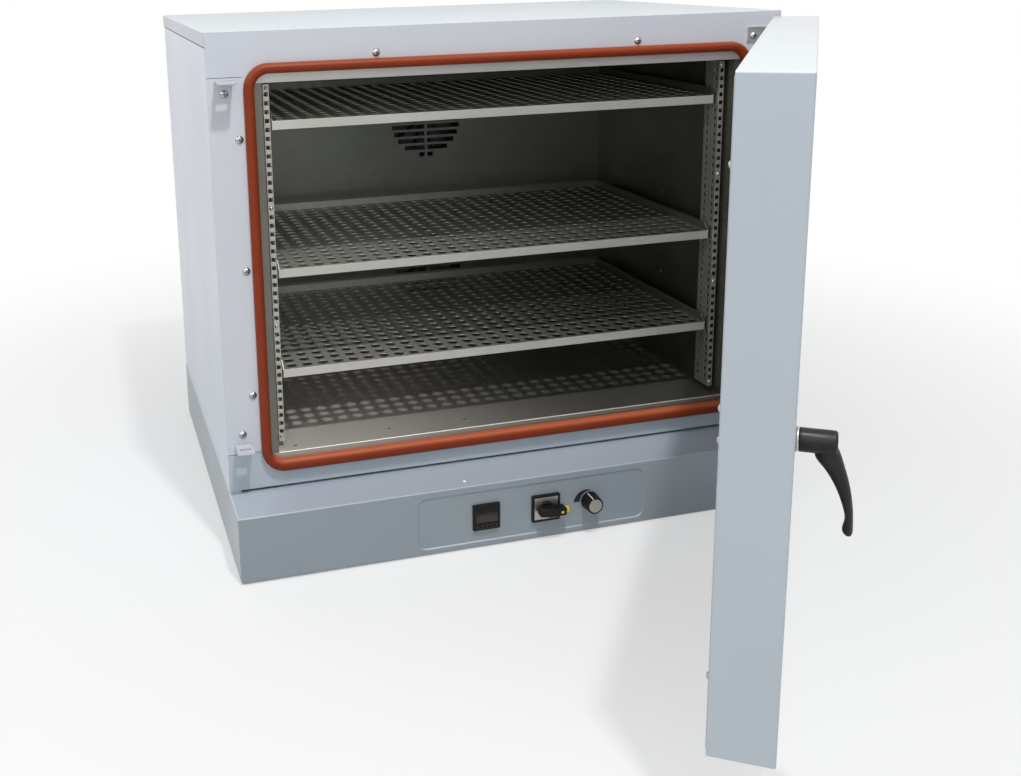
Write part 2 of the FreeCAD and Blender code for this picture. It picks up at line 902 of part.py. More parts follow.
def keeper(tab_top, plate_way):
    x0 = keeper_centre - keeper_width * half
    x1 = x0 + keeper_width
    low = tab_top - keeper_sheet
    tab = block(x0, x1, body_front - keeper_reach, body_front - seat_gap, low, tab_top)
    corners = edges_along(tab, up_way, lambda point: point.y < body_front - keeper_reach * half)
    tab = tab.makeFillet(keeper_corner, corners)
    behind = body_front + casing_sheet
    neck = block(keeper_neck_left, x1, body_front - keeper_sheet, behind, low, tab_top)
    z0 = low if plate_way > 0 else tab_top - keeper_plate
    plate = block(keeper_neck_left, x1, behind, behind + keeper_sheet, z0, z0 + keeper_plate)
    y = body_front - keeper_slot_place
    slot = block(keeper_centre - keeper_slot_length * half, keeper_centre + keeper_slot_length * half,
                 y - keeper_slot_width * half, y + keeper_slot_width * half, low - overrun, tab_top + overrun)
    return joined([tab, neck, plate]).cut(slot)


def keeper_ways():
    x1 = keeper_centre + keeper_width * half
    cuts = []
    for tab_top in keeper_tops:
        cuts.append(block(keeper_neck_left - seat_gap, x1 + seat_gap, body_front - overrun,
                          body_front + overrun, tab_top - keeper_sheet - seat_gap, tab_top + seat_gap))
    return cuts


def latch_keepers():
    return group([keeper(keeper_tops[0], 1), keeper(keeper_tops[1], -1)])


def hinge_bracket(tab_top, plate_way):
    low = tab_top - bracket_sheet
    stem = block(pivot_x - bracket_stem, bracket_right, pivot_y, body_front, low, tab_top)
    nose = cylinder(bracket_right - pivot_x, bracket_sheet, Vector(pivot_x, pivot_y, low), up_way)
    filler_front = pivot_y - (bracket_right - pivot_x)
    filler = block(pivot_x - bracket_stem, pivot_x, filler_front, pivot_y, low, tab_top)
    z0 = low if plate_way > 0 else tab_top - bracket_plate
    plate = block(bracket_left, bracket_right, body_front - bracket_sheet, body_front, z0, z0 + bracket_plate)
    pin_end = Vector(pivot_x, pivot_y, low + bracket_sheet * half - pin_reach)
    pin = cylinder(pin_radius, pin_reach + pin_reach, pin_end, up_way)
    return joined([stem, nose, filler, plate, pin])


def hinge_brackets():
    return group([hinge_bracket(bracket_tab_tops[0], 1), hinge_bracket(bracket_tab_tops[1], -1)])


def pan_screw(centre, way):
    head = dome(screw_radius, screw_height, centre, way)
    across = way.cross(up_way)
    if across.Length < half:
        across = right_way
    other = way.cross(across)
    for first, second in ((across, other), (other, across)):
        corner = centre + way * (screw_height - screw_slot_depth)
        corner = corner - first * (screw_slot_length * half) - second * (screw_slot_width * half)
        head = head.cut(bar_between(corner, first, second, way))
    return head


def bar_between(corner, first, second, way):
    a = corner + first * screw_slot_length
    b = a + second * screw_slot_width
    c = corner + second * screw_slot_width
    face = Part.Face(Part.makePolygon([corner, a, b, c, corner]))
    return face.extrude(way * overrun)


def casing_screws():
    out = -back_way
    heads = []
    for side in (-1, 1):
        heads.append(pan_screw(Vector(side * top_screw_x, body_front, top_screw_height), out))
        for z in frame_screw_heights:
            heads.append(pan_screw(Vector(side * frame_screw_x, body_front, z), out))
    for z in keeper_screw_heights:
        heads.append(pan_screw(Vector(keeper_centre, body_front, z), out))
    low = bracket_tab_tops[0] - bracket_sheet + bracket_screw_drop
    high = bracket_tab_tops[1] - bracket_screw_drop
    for x in bracket_screw_places:
        for z in (low, high):
            heads.append(pan_screw(Vector(x, body_front - bracket_sheet, z), out))
    heads += back_screws()
    ledge_screw_place = Vector(ledge_screw_x, ledge_screw_y, base_height)
    heads.append(dome(ledge_screw_radius, ledge_screw_height, ledge_screw_place, up_way))
    return group(heads)


def back_screws():
    heads = []
    y = cabinet_back - casing_sheet
    low = base_height + back_screw_inset
    high = cabinet_top - lid_lip - back_screw_inset
    for side in (-1, 1):
        for row in range(back_screw_rows):
            z = low + (high - low) * row / (back_screw_rows - 1)
            x = side * (cabinet_side - back_screw_inset)
            heads.append(pan_screw(Vector(x, y, z), back_way))
    return heads


def opened(shape):
    turned = shape.copy()
    turned.rotate(Vector(pivot_x, pivot_y, 0), up_way, door_open_angle)
    return turned


def hinge_slots():
    cuts = []
    for tab_top in bracket_tab_tops:
        x0 = pivot_x - bracket_stem - overrun
        cuts.append(block(x0, door_half_width + overrun, door_pan_inner - hinge_slot_depth,
                          door_inner_face + overrun, tab_top - bracket_sheet - hinge_slot_gap,
                          tab_top + hinge_slot_gap))
    return cuts


def latch_openings(y0, y1):
    cuts = []
    reach = keeper_width * half + latch_opening_gap
    for tab_top in keeper_tops:
        cuts.append(block(keeper_centre - reach, keeper_centre + reach, y0, y1,
                          tab_top - keeper_sheet - latch_opening_gap, tab_top + latch_opening_gap))
    return cuts


def door_pan():
    side = door_half_width
    outer = block(-side, side, door_pan_outer, door_pan_inner, door_low, door_high)
    front = [edge for edge in outer.Edges if edge.BoundBox.YMax < door_pan_outer + seat_gap]
    corners = edges_along(outer, back_way, lambda point: True)
    outer = outer.makeFillet(door_edge_radius, front + corners)
    sheet = casing_sheet
    hollow = block(-side + sheet, side - sheet, door_pan_outer + sheet, door_pan_inner - sheet,
                   door_low + sheet, door_high - sheet)
    reach = sheet + door_return
    mouth = block(-side + reach, side - reach, door_pan_inner - overrun, door_pan_inner + overrun,
                  door_low + reach, door_high - reach)
    spindle_way = cylinder(ring_boss_radius + seat_gap, door_thickness * half,
                           Vector(spindle_x, door_pan_outer - overrun, spindle_z), back_way)
    cuts = [hollow, mouth, spindle_way] + hinge_slots()
    cuts += latch_openings(door_pan_inner - overrun, door_pan_inner + overrun)
    return outer.cut(group(cuts))


def door_inner_panel():
    side = door_half_width - door_inner_inset
    plate = block(-side, side, door_pan_inner, door_inner_face, door_low + door_inner_inset,
                  door_high - door_inner_inset)
    cuts = hinge_slots() + latch_openings(door_pan_inner - overrun, door_inner_face + overrun)
    return plate.cut(group(cuts))


def door_insulation():
    return block(door_wool_left, door_wool_right, door_pan_outer + casing_sheet, door_pan_inner,
                 door_low + door_wool_margin, door_high - door_wool_margin)


def hinge_bushes():
    blocks = []
    x1 = door_half_width - casing_sheet
    y1 = door_pan_inner - casing_sheet
    for tab_top in bracket_tab_tops:
        above = tab_top + hinge_slot_gap
        below = tab_top - bracket_sheet - hinge_slot_gap
        high = min(above + bush_height, door_high - casing_sheet)
        low = max(below - bush_height, door_low + casing_sheet)
        for z0, z1 in ((above, high), (low, below)):
            body = block(x1 - bush_side, x1, y1 - bush_side, y1, z0, z1)
            bore = cylinder(pin_radius + running_gap, z1 - z0 + overrun + overrun,
                            Vector(pivot_x, pivot_y, z0 - overrun), up_way)
            blocks.append(body.cut(bore))
    return group(blocks)


def door_screws():
    heads = []
    y = door_inner_face
    for z in door_side_screws:
        heads.append(dome(door_screw_radius, door_screw_height,
                          Vector(-door_half_width + door_screw_inset, y, z), back_way))
    for z in (door_side_screws[0], door_side_screws[-1]):
        heads.append(dome(door_screw_radius, door_screw_height,
                          Vector(door_half_width - door_screw_inset, y, z), back_way))
    for x in door_top_screws:
        for z in (door_low + door_screw_inset, door_high - door_screw_inset):
            heads.append(dome(door_screw_radius, door_screw_height, Vector(x, y, z), back_way))
    return group(heads)


def pitch_radius():
    return tooth_module * tooth_count * half


def pinion():
    pitch = pitch_radius()
    root = pitch - tooth_dedendum
    tip = pitch + tooth_addendum
    y0 = rod_plane - pinion_width * half
    axis = Vector(0, y0, 0)
    parts = [cylinder(root, pinion_width, axis, back_way)]
    tooth = tooth_prism(root - tooth_dedendum * half, tip, y0)
    for index in range(tooth_count):
        turned = tooth.copy()
        turned.rotate(Vector(0, 0, 0), back_way, index * full_turn / tooth_count)
        parts.append(turned)
    end = door_pan_outer - ring_thickness - lever_hub_length * half
    parts.append(cylinder(spindle_radius, y0 - end, Vector(0, end, 0), back_way))
    whole = joined(parts)
    whole.translate(Vector(spindle_x, 0, spindle_z))
    return whole


def tooth_prism(inner, tip, y0):
    pitch = pitch_radius()
    wide = tooth_thickness * half + (pitch - inner) * tooth_flank
    narrow = tooth_thickness * half - (tip - pitch) * tooth_flank
    points = [Vector(inner, y0, -wide), Vector(tip, y0, -narrow), Vector(tip, y0, narrow),
              Vector(inner, y0, wide), Vector(inner, y0, -wide)]
    return Part.Face(Part.makePolygon(points)).extrude(Vector(0, pinion_width, 0))


def rack(side, z0, z1):
    pitch = pitch_radius()
    root = pitch + tooth_dedendum
    y0 = rod_plane - rod_thickness * half
    body = block(min(side * root, side * (root + rack_body)), max(side * root, side * (root + rack_body)),
                 y0, y0 + rod_thickness, z0 - spindle_z, z1 - spindle_z)
    parts = [body]
    spacing = math.pi * tooth_module
    tip = pitch - tooth_addendum
    wide = tooth_thickness * half + tooth_dedendum * tooth_flank
    narrow = tooth_thickness * half - tooth_addendum * tooth_flank
    for index in range(-rack_teeth_each_way, rack_teeth_each_way):
        z = (index + half) * spacing
        if z0 - spindle_z + wide < z < z1 - spindle_z - wide:
            inner = side * (root + tooth_dedendum * half)
            points = [Vector(inner, y0, z - wide), Vector(side * root, y0, z - wide),
                      Vector(side * tip, y0, z - narrow), Vector(side * tip, y0, z + narrow),
                      Vector(side * root, y0, z + wide), Vector(inner, y0, z + wide),
                      Vector(inner, y0, z - wide)]
            parts.append(Part.Face(Part.makePolygon(points)).extrude(Vector(0, rod_thickness, 0)))
    whole = joined(parts)
    whole.translate(Vector(spindle_x, 0, spindle_z))
    return whole


def rod_bar(z0, z1):
    y0 = rod_plane - rod_thickness * half
    return block(rod_place - rod_width * half, rod_place + rod_width * half, y0, y0 + rod_thickness, z0, z1)


def rod_arm(x1, z0):
    y0 = rod_plane - rod_thickness * half
    return block(rod_place - rod_width * half, x1, y0, y0 + rod_thickness, z0, z0 + rod_arm_height)


def latch_rod_upper():
    arm_low = spindle_z + rod_arm_gap
    end = keeper_tops[1] - keeper_sheet - rod_travel_gap
    outer = spindle_x + pitch_radius() + tooth_dedendum + rack_body
    rack_part = rack(1, spindle_z - rack_reach, arm_low + rod_arm_height)
    return joined([rod_bar(arm_low, end), rod_arm(outer, arm_low), rack_part])


def latch_rod_lower():
    arm_low = spindle_z - rod_arm_gap - rod_arm_height
    end = keeper_tops[0] + rod_travel_gap
    outer = spindle_x - pitch_radius() - tooth_dedendum
    rack_part = rack(-1, arm_low, spindle_z + rack_reach)
    return joined([rod_bar(end, arm_low + rod_arm_height), rod_arm(outer, arm_low), rack_part])


def lock_case():
    y1 = door_pan_inner
    y0 = y1 - case_depth
    z0 = spindle_z - case_half_height
    z1 = spindle_z + case_half_height
    outer = block(case_left, case_right, y0, y1, z0, z1)
    hollow = block(case_left + case_sheet, case_right - case_sheet, y0 + case_sheet, y1 + overrun,
                   z0 - overrun, z1 + overrun)
    bore = cylinder(spindle_radius + running_gap, case_depth, Vector(spindle_x, y0 - overrun, spindle_z),
                    back_way)
    return group([outer.cut(hollow).cut(bore)] + rod_guides())


def rod_guides():
    guides = []
    reach = rod_width * half + seat_gap
    y0 = rod_plane - rod_thickness * half - seat_gap
    y1 = rod_plane + rod_thickness * half + seat_gap
    for z in guide_places:
        body = block(rod_place - reach - guide_wall, rod_place + reach + guide_wall, y0 - guide_wall,
                     door_pan_inner, z, z + guide_height)
        way = block(rod_place - reach, rod_place + reach, y0, y1, z - overrun, z + guide_height + overrun)
        guides.append(body.cut(way))
    return guides


def lever_ring():
    y = door_pan_outer
    ring = cylinder(ring_radius, ring_thickness, Vector(spindle_x, y - ring_thickness, spindle_z), back_way)
    boss = cylinder(ring_boss_radius, ring_boss_length, Vector(spindle_x, y, spindle_z), back_way)
    bore = cylinder(spindle_radius + running_gap, door_thickness,
                    Vector(spindle_x, y - door_thickness * half, spindle_z), back_way)
    return joined([ring, boss]).cut(bore)


def lever():
    face = door_pan_outer - ring_thickness - seat_gap
    axis = Vector(spindle_x, face, spindle_z)
    hub = cylinder(lever_hub_radius, lever_hub_length, axis, -back_way)
    rim = [edge for edge in hub.Edges if edge.BoundBox.YMax < face - lever_hub_length * half]
    hub = hub.makeFillet(lever_hub_fillet, [rim[0]])
    sections = []
    for index, out in enumerate(lever_out):
        lean = lever_lean[index]
        centre = Vector(spindle_x, face - out, spindle_z - lever_drop[index])
        normal = Vector(0, -math.sin(lean), -math.cos(lean))
        wide = lever_half_width * lever_width_share[index]
        high = lever_half_height[index]
        sections.append(lever_section(centre, normal, wide, high))
    arm = Part.makeLoft(sections, True)
    bore = cylinder(spindle_radius + seat_gap, lever_hub_length * half,
                    axis - back_way * (lever_hub_length * half - seat_gap), back_way)
    return joined([hub, arm]).cut(bore)


def lever_section(centre, normal, wide, high):
    wire = Part.Wire(Part.makeCircle(1, Vector(0, 0, 0), up_way))
    across = right_way * wide
    other = normal.cross(right_way) * high
    matrix = FreeCAD.Matrix(across.x, other.x, normal.x, centre.x, across.y, other.y, normal.y, centre.y,
                            across.z, other.z, normal.z, centre.z, 0, 0, 0, 1)
    return wire.transformGeometry(matrix)


def controller_body():
    front = control_plane - controller_proud
    x0 = controller_centre - controller_width * half
    z0 = controls_height - controller_height * half
    bezel = block(x0, x0 + controller_width, front, control_plane, z0, z0 + controller_height)
    outer_edges = [edge for edge in bezel.Edges if edge.BoundBox.YMax < control_plane - seat_gap
                   or edge.BoundBox.YLength > controller_proud * half]
    bezel = bezel.makeFillet(controller_edge, outer_edges)
    side = controller_body_side * half
    rear = block(controller_centre - side, controller_centre + side, control_plane,
                 control_plane + controller_body_depth, controls_height - side, controls_height + side)
    cuts = [window_block(seat_gap, window_thickness)]
    for index in range(button_count):
        cuts.append(button_block(index, seat_gap, 0, button_pocket))
    return joined([bezel, rear]).cut(group(cuts))


def window_block(gap, depth):
    front = control_plane - controller_proud
    top = controls_height + controller_height * half - window_drop
    reach = window_width * half + gap
    return block(controller_centre - reach, controller_centre + reach, front, front + depth,
                 top - window_height - gap, top + gap)


def button_block(index, gap, proud, depth):
    front = control_plane - controller_proud
    x = controller_centre + (index - (button_count - 1) * half) * button_pitch
    z = controls_height - controller_height * half + button_rise
    reach = button_width * half + gap
    rise = button_height * half + gap
    return block(x - reach, x + reach, front - proud, front + depth, z - rise, z + rise)


def controller_button(index):
    return button_block(index, 0, button_proud, button_depth - button_proud)


def switch_frame():
    front = control_plane - switch_proud
    x0 = switch_centre - switch_width * half
    z0 = controls_height - switch_height * half
    frame = block(x0, x0 + switch_width, front, control_plane, z0, z0 + switch_height)
    edges = edges_along(frame, back_way, lambda point: True)
    frame = frame.makeFillet(switch_edge, edges)
    rear_end = Vector(switch_centre, control_plane, controls_height)
    rear = cylinder(switch_body_radius, switch_body_depth, rear_end, back_way)
    bore = cylinder(switch_shaft_radius + running_gap, switch_shaft_depth + overrun,
                    Vector(switch_centre, front - overrun, controls_height), back_way)
    return joined([frame, rear]).cut(switch_plate_block()).cut(bore)


def switch_plate_block():
    front = control_plane - switch_proud
    x = switch_plate_width * half
    z = switch_plate_height * half
    return block(switch_centre - x, switch_centre + x, front, front + switch_plate_thickness,
                 controls_height - z, controls_height + z)


def switch_plate():
    bore = cylinder(switch_shaft_radius + running_gap, overrun + overrun,
                    Vector(switch_centre, control_plane - switch_proud - overrun, controls_height), back_way)
    return switch_plate_block().cut(bore)


def switch_knob():
    front = control_plane - switch_proud
    axis = Vector(switch_centre, front - seat_gap, controls_height)
    disc = cylinder(switch_disc_radius, switch_disc_thickness, axis, -back_way)
    disc_front = front - seat_gap - switch_disc_thickness
    shaft = cylinder(switch_shaft_radius, switch_shaft_depth - overrun, axis, back_way)
    return joined([disc, grip(disc_front), shaft])


def grip(back):
    y1 = back
    y0 = back - grip_depth
    x0 = switch_centre - grip_left
    x1 = switch_centre + grip_right
    tall = grip_height * half
    low = grip_tip_height * half
    z = controls_height
    points = [Vector(x0, y1, z - low), Vector(switch_centre, y1, z - tall), Vector(x1, y1, z - low),
              Vector(x1, y1, z + low), Vector(switch_centre, y1, z + tall), Vector(x0, y1, z + low),
              Vector(x0, y1, z - low)]
    body = Part.Face(Part.makePolygon(points)).extrude(Vector(0, y0 - y1, 0))
    front = [edge for edge in body.Edges if edge.BoundBox.YMax < y0 + seat_gap]
    return body.makeFillet(grip_edge, front)


def switch_tab():
    y0 = control_plane - switch_proud - seat_gap - switch_disc_thickness - grip_depth
    x1 = switch_centre + grip_right
    z = controls_height
    middle = y0 + grip_depth * half
    tab = block(x1, x1 + tab_length, middle - tab_depth * half, middle + tab_depth * half,
                z - tab_height * half, z + tab_height * half)
    ends = edges_along(tab, up_way, lambda point: point.x > x1 + tab_length * half)
    tab = tab.makeFillet(tab_depth * quarter, ends)
    mark = block(x1 - mark_inset - mark_length, x1 - mark_inset, y0 - mark_thickness, y0,
                 z - mark_height * half, z + mark_height * half)
    return group([tab, mark])


def dial_knob():
    start = Vector(dial_centre, control_plane - seat_gap, controls_height)
    body = Part.makeCone(dial_base_radius, dial_front_radius, dial_length, start, -back_way)
    rim = [edge for edge in body.Edges if edge.BoundBox.YMax < start.y - dial_length * half]
    body = body.makeFillet(dial_cap_thickness * half, [rim[0]])
    pocket = cylinder(dial_cap_radius, dial_cap_thickness * half + overrun,
                      start - back_way * (dial_length - dial_cap_thickness * half), -back_way)
    shaft = cylinder(dial_shaft_radius, dial_shaft_length, start, back_way)
    return joined([body, shaft]).cut(pocket)


def dial_socket():
    front = Vector(dial_centre, control_plane, controls_height)
    neck = cylinder(dial_neck_radius, casing_sheet + overrun, front, back_way)
    can = cylinder(dial_socket_radius, dial_socket_depth, front + back_way * casing_sheet, back_way)
    bore = cylinder(dial_shaft_radius + running_gap, dial_shaft_length + overrun,
                    front - back_way * overrun, back_way)
    return joined([neck, can]).cut(bore)


def dial_cap():
    start = Vector(dial_centre, control_plane - seat_gap - dial_length + dial_cap_thickness * half,
                   controls_height)
    cap = cylinder(dial_cap_radius, dial_cap_thickness, start, -back_way)
    return cap


def dial_scale():
    y = control_plane
    centre = Vector(dial_centre, y, controls_height)

    def at(radius, angle):
        return centre + Vector(radius * math.cos(angle), 0, radius * math.sin(angle))

    left = math.pi
    top = math.pi * half
    middle = (left + top) * half
    outer = Part.Arc(at(scale_wide_radius, left), at(scale_middle_radius, middle),
                     at(scale_narrow_radius, top)).toShape()
    inner = Part.Arc(at(scale_inner_radius, top), at(scale_inner_radius, middle),
                     at(scale_inner_radius, left)).toShape()
    ends = [Part.makeLine(at(scale_narrow_radius, top), at(scale_inner_radius, top)),
            Part.makeLine(at(scale_inner_radius, left), at(scale_wide_radius, left))]
    wire = Part.Wire([outer, ends[0], inner, ends[1]])
    return Part.Face(wire).extrude(Vector(0, -scale_thickness, 0))


def build():
    nodes = {
        "base_shell": base_shell(),
        "base_bottom": base_bottom(),
        "power_unit": power_unit(),
        "cable_gland": cable_gland(),
        "side_panel_left": side_panel_left(),
        "side_panel_right": mirrored(side_panel_left()),
        "top_cover": top_cover(),
        "back_panel": back_panel(),
        "front_top": front_top(),
        "front_post_left": front_post_left(),
        "front_post_right": mirrored(front_post()),
        "front_sill": front_sill(),
        "chamber_floor": chamber_floor(),
        "chamber_roof": chamber_roof(),
        "chamber_left": chamber_left(),
        "chamber_right": mirrored(chamber_left()),
        "chamber_back": chamber_back(),
        "plenum_back": plenum_back(),
        "insulation": insulation(),
        "upright_left": upright_left(),
        "upright_right": mirrored(upright_left()),
        "upright_screws": upright_screws(),
        "shelf_rails": shelf_rails(),
        "door_seal": door_seal(),
        "fan_wheel_lower": fan_wheel(fan_heights[0]),
        "fan_wheel_upper": fan_wheel(fan_heights[1]),
        "fan_motors": fan_motors(),
        "heaters": heaters(),
        "temperature_probe": temperature_probe(),
        "latch_keepers": latch_keepers(),
        "hinge_brackets": hinge_brackets(),
        "casing_screws": casing_screws(),
        "door_pan": opened(door_pan()),
        "door_inner_panel": opened(door_inner_panel()),
        "door_insulation": opened(door_insulation()),
        "hinge_bushes": opened(hinge_bushes()),
        "door_screws": opened(door_screws()),
        "lock_case": opened(lock_case()),
        "latch_rod_upper": opened(latch_rod_upper()),
        "latch_rod_lower": opened(latch_rod_lower()),
        "pinion": opened(pinion()),
        "lever_ring": opened(lever_ring()),
        "lever": opened(lever()),
        "controller_body": controller_body(),
        "controller_window": window_block(0, window_thickness),
        "switch_frame": switch_frame(),
        "switch_plate": switch_plate(),
        "switch_knob": switch_knob(),
        "switch_tab": switch_tab(),
        "dial_socket": dial_socket(),
        "dial_knob": dial_knob(),
        "dial_cap": dial_cap(),
        "dial_scale": dial_scale(),
    }
    for name, top in zip(shelf_names, shelf_tops):
        nodes[name] = shelf(top)
    for index in range(button_count):
        nodes["controller_button_" + str(index + 1)] = controller_button(index)
    return nodes


for name, shape in build().items():
    shape.exportStep(os.path.join("parts", name + ".step"))
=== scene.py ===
import bmesh
import bpy
import json
import math
from mathutils import Matrix, Vector


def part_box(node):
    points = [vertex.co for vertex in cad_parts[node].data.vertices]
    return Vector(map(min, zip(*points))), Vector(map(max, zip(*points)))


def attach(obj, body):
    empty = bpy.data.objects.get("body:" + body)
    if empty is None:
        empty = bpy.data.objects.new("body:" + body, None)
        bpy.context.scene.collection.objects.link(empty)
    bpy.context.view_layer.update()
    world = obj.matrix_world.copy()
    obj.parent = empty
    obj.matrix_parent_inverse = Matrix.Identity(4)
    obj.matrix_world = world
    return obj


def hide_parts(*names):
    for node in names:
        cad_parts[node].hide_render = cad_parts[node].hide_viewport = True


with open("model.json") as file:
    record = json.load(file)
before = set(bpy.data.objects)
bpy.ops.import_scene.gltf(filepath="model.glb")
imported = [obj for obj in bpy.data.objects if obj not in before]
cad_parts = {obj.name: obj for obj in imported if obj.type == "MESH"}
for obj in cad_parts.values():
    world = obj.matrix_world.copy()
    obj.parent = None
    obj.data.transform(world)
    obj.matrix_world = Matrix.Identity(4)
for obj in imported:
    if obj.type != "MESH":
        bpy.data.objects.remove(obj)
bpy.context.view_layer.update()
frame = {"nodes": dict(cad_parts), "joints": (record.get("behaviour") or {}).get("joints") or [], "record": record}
nodes = frame["nodes"]
joints = {joint["name"]: joint for joint in frame["joints"]}
print("frame loaded:", len(nodes), "nodes")

mm = 0.001
mergeDistance = 0.001 * mm
clearance = 0.3 * mm   # between a turning piece and its neighbour
slack = 1 * mm         # for telling vertices apart by their places
quarterTurn = math.pi / 2

# The door's pieces are modelled with the door shut and then swung open
hinge = joints["door_hinge"]
hingePoint = Vector(hinge["pos_m"])
openAngle = math.radians(-hinge["range_deg"][0])
doorSwing = (Matrix.Translation(hingePoint) @ Matrix.Rotation(openAngle, 4, "Z")
             @ Matrix.Translation(-hingePoint))
swingShut = doorSwing.inverted()
towardsUser = Matrix.Rotation(quarterTurn, 4, "X")   # a shape built along +Z then points to -Y


class Wire:
    # one output of a shader node, with sums on it written as Python
    def __init__(self, shading, socket):
        self.shading = shading
        self.socket = socket

    def calc(self, operation, first, second, clamp=False):
        return self.shading.add("ShaderNodeMath", {"operation": operation, "use_clamp": clamp},
                                {0: first, 1: second})

    def __add__(self, other):
        return self.calc("ADD", self, other)

    def __radd__(self, other):
        return self.calc("ADD", other, self)

    def __sub__(self, other):
        return self.calc("SUBTRACT", self, other)

    def __rsub__(self, other):
        return self.calc("SUBTRACT", other, self)

    def __mul__(self, other):
        return self.calc("MULTIPLY", self, other)

    def __rmul__(self, other):
        return self.calc("MULTIPLY", other, self)

    def __gt__(self, other):
        return self.calc("GREATER_THAN", self, other)

    def __lt__(self, other):
        return self.calc("LESS_THAN", self, other)

    def clamped(self):
        return self.calc("ADD", self, 0.0, True)


class Shading:
    # a node tree, and the kinds of nodes that the finishes need
    def __init__(self, tree):
        self.tree = tree
        self.tree.nodes.clear()

    def add(self, kind, settings=None, inputs=None, output=0):
        node = self.tree.nodes.new(kind)
        for setting, value in (settings or {}).items():
            setattr(node, setting, value)
        for socket, value in (inputs or {}).items():
            self.put(node.inputs[socket], value)
        return Wire(self, node.outputs[output])

    def put(self, socket, value):
        if isinstance(value, Wire):
            self.tree.links.new(value.socket, socket)
        elif isinstance(value, tuple) and len(value) == 3 and len(socket.default_value) == 4:
            socket.default_value = (*value, 1.0)
        else:
            socket.default_value = value

    def place(self):
        return self.add("ShaderNodeTexCoord", output="Object")

    def point(self, stretch=(1, 1, 1)):
        return self.add("ShaderNodeMapping", {}, {"Vector": self.place(), "Scale": stretch})

    def along(self, axis, vector):
        return self.add("ShaderNodeSeparateXYZ", {}, {0: vector}, axis)

    def noise(self, scale, detail, stretch=(1, 1, 1), roughness=0.5):
        return self.add("ShaderNodeTexNoise", {}, {
            "Vector": self.point(stretch), "Scale": scale, "Detail": detail, "Roughness": roughness})

    def spread(self, value, low, high, lowest=0.0, highest=1.0):
        return self.add("ShaderNodeMapRange", {"interpolation_type": "SMOOTHSTEP"},
                        {0: value, 1: low, 2: high, 3: lowest, 4: highest})

    def blend(self, factor, first, second):
        return self.add("ShaderNodeMix", {"data_type": "RGBA"}, {0: factor, 6: first, 7: second}, 2)

    def faceNormal(self):
        return self.add("ShaderNodeNewGeometry", output="Normal")

    def facingUp(self, low, high):
        # near 1 on faces that point up, where the finishes paint in light
        return self.spread(self.along("Z", self.faceNormal()), low, high)

    def softEdges(self, radius):
        return self.add("ShaderNodeBevel", {"samples": 4}, {"Radius": radius})

    def edgeMask(self, radius):
        # near 1 along the edges of a part and 0 on its faces
        cosine = self.add("ShaderNodeVectorMath", {"operation": "DOT_PRODUCT"},
                          {0: self.softEdges(radius), 1: self.faceNormal()}, "Value")
        return self.spread(1.0 - cosine, 0.02, 0.2)


class Finish(Shading):
    # a material and its shader
    def __init__(self, name, **constants):
        self.material = bpy.data.materials.new(name)
        self.material.use_nodes = True
        super().__init__(self.material.node_tree)
        self.output = self.tree.nodes.new("ShaderNodeOutputMaterial")
        self.shader = self.tree.nodes.new("ShaderNodeBsdfPrincipled")
        self.tree.links.new(self.shader.outputs[0], self.output.inputs[0])
        for socket, value in constants.items():
            self.feed(socket.replace("_", " "), value)

    def feed(self, socket, value):
        self.put(self.shader.inputs[socket], value)

    def bump(self, height, depth, strength, normal=None):
        inputs = {"Height": height, "Distance": depth, "Strength": strength}
        if normal:
            inputs["Normal"] = normal
        self.feed("Normal", self.add("ShaderNodeBump", {}, inputs))


plainPaint = {
    "colour": (0.57, 0.59, 0.635), "shade": (0.555, 0.577, 0.623), "chipped": (0.42, 0.45, 0.48),
    "roughness": 0.34, "markRoughness": 0.06, "speckRoughness": 0.1, "speckShare": 0.1,
    "coat": 0.25, "coatRoughness": 0.2, "gloss": 0.5,
    "peelScale": 620.0, "peelDepth": 0.05 * mm, "peelStrength": 0.35,
    "waveScale": 3.0, "waveShare": 2.0, "markScale": 4.0, "speckScale": 240.0,
    "edge": 1.1 * mm, "wear": 0.45, "wearScale": 70.0, "wearFrom": 0.52, "wearTo": 0.66,
}
# painted light and shade: the side, sill, door and base paints are copies of the one casing paint, tinted bluer or
# darkened for how light falls on those parts, and the lid, door and base paints are paler on faces that point up
casingPaints = {
    "casingPaint": plainPaint,
    "sidePaintLightTint": dict(plainPaint, colour=(0.535, 0.58, 0.645), shade=(0.52, 0.567, 0.633)),
    "lidPaint": dict(plainPaint, coat=0.0, gloss=0.2, roughness=0.42, paintedTopLight=(0.66, 0.70, 0.72)),
    "sillPaintShaded": dict(plainPaint, colour=(0.44, 0.50, 0.54), shade=(0.42, 0.48, 0.52)),
    "doorPaintShadeAndLight": dict(plainPaint, colour=(0.47, 0.52, 0.565), shade=(0.45, 0.50, 0.545),
                      paintedTopLight=(0.60, 0.64, 0.67)),
    "basePaintShadeAndLight": dict(plainPaint, colour=(0.25, 0.29, 0.315), shade=(0.235, 0.275, 0.305),
                      paintedTopLight=(0.43, 0.475, 0.54)),
    "keeperPaint": dict(plainPaint, colour=(0.50, 0.52, 0.56), chipped=(0.16, 0.18, 0.19),
                        edge=1.6 * mm, wear=0.95, wearFrom=0.25, wearTo=0.39),
    "motorPaint": dict(plainPaint, colour=(0.035, 0.036, 0.04), shade=(0.028, 0.028, 0.031),
                       chipped=(0.12, 0.12, 0.12)),
}


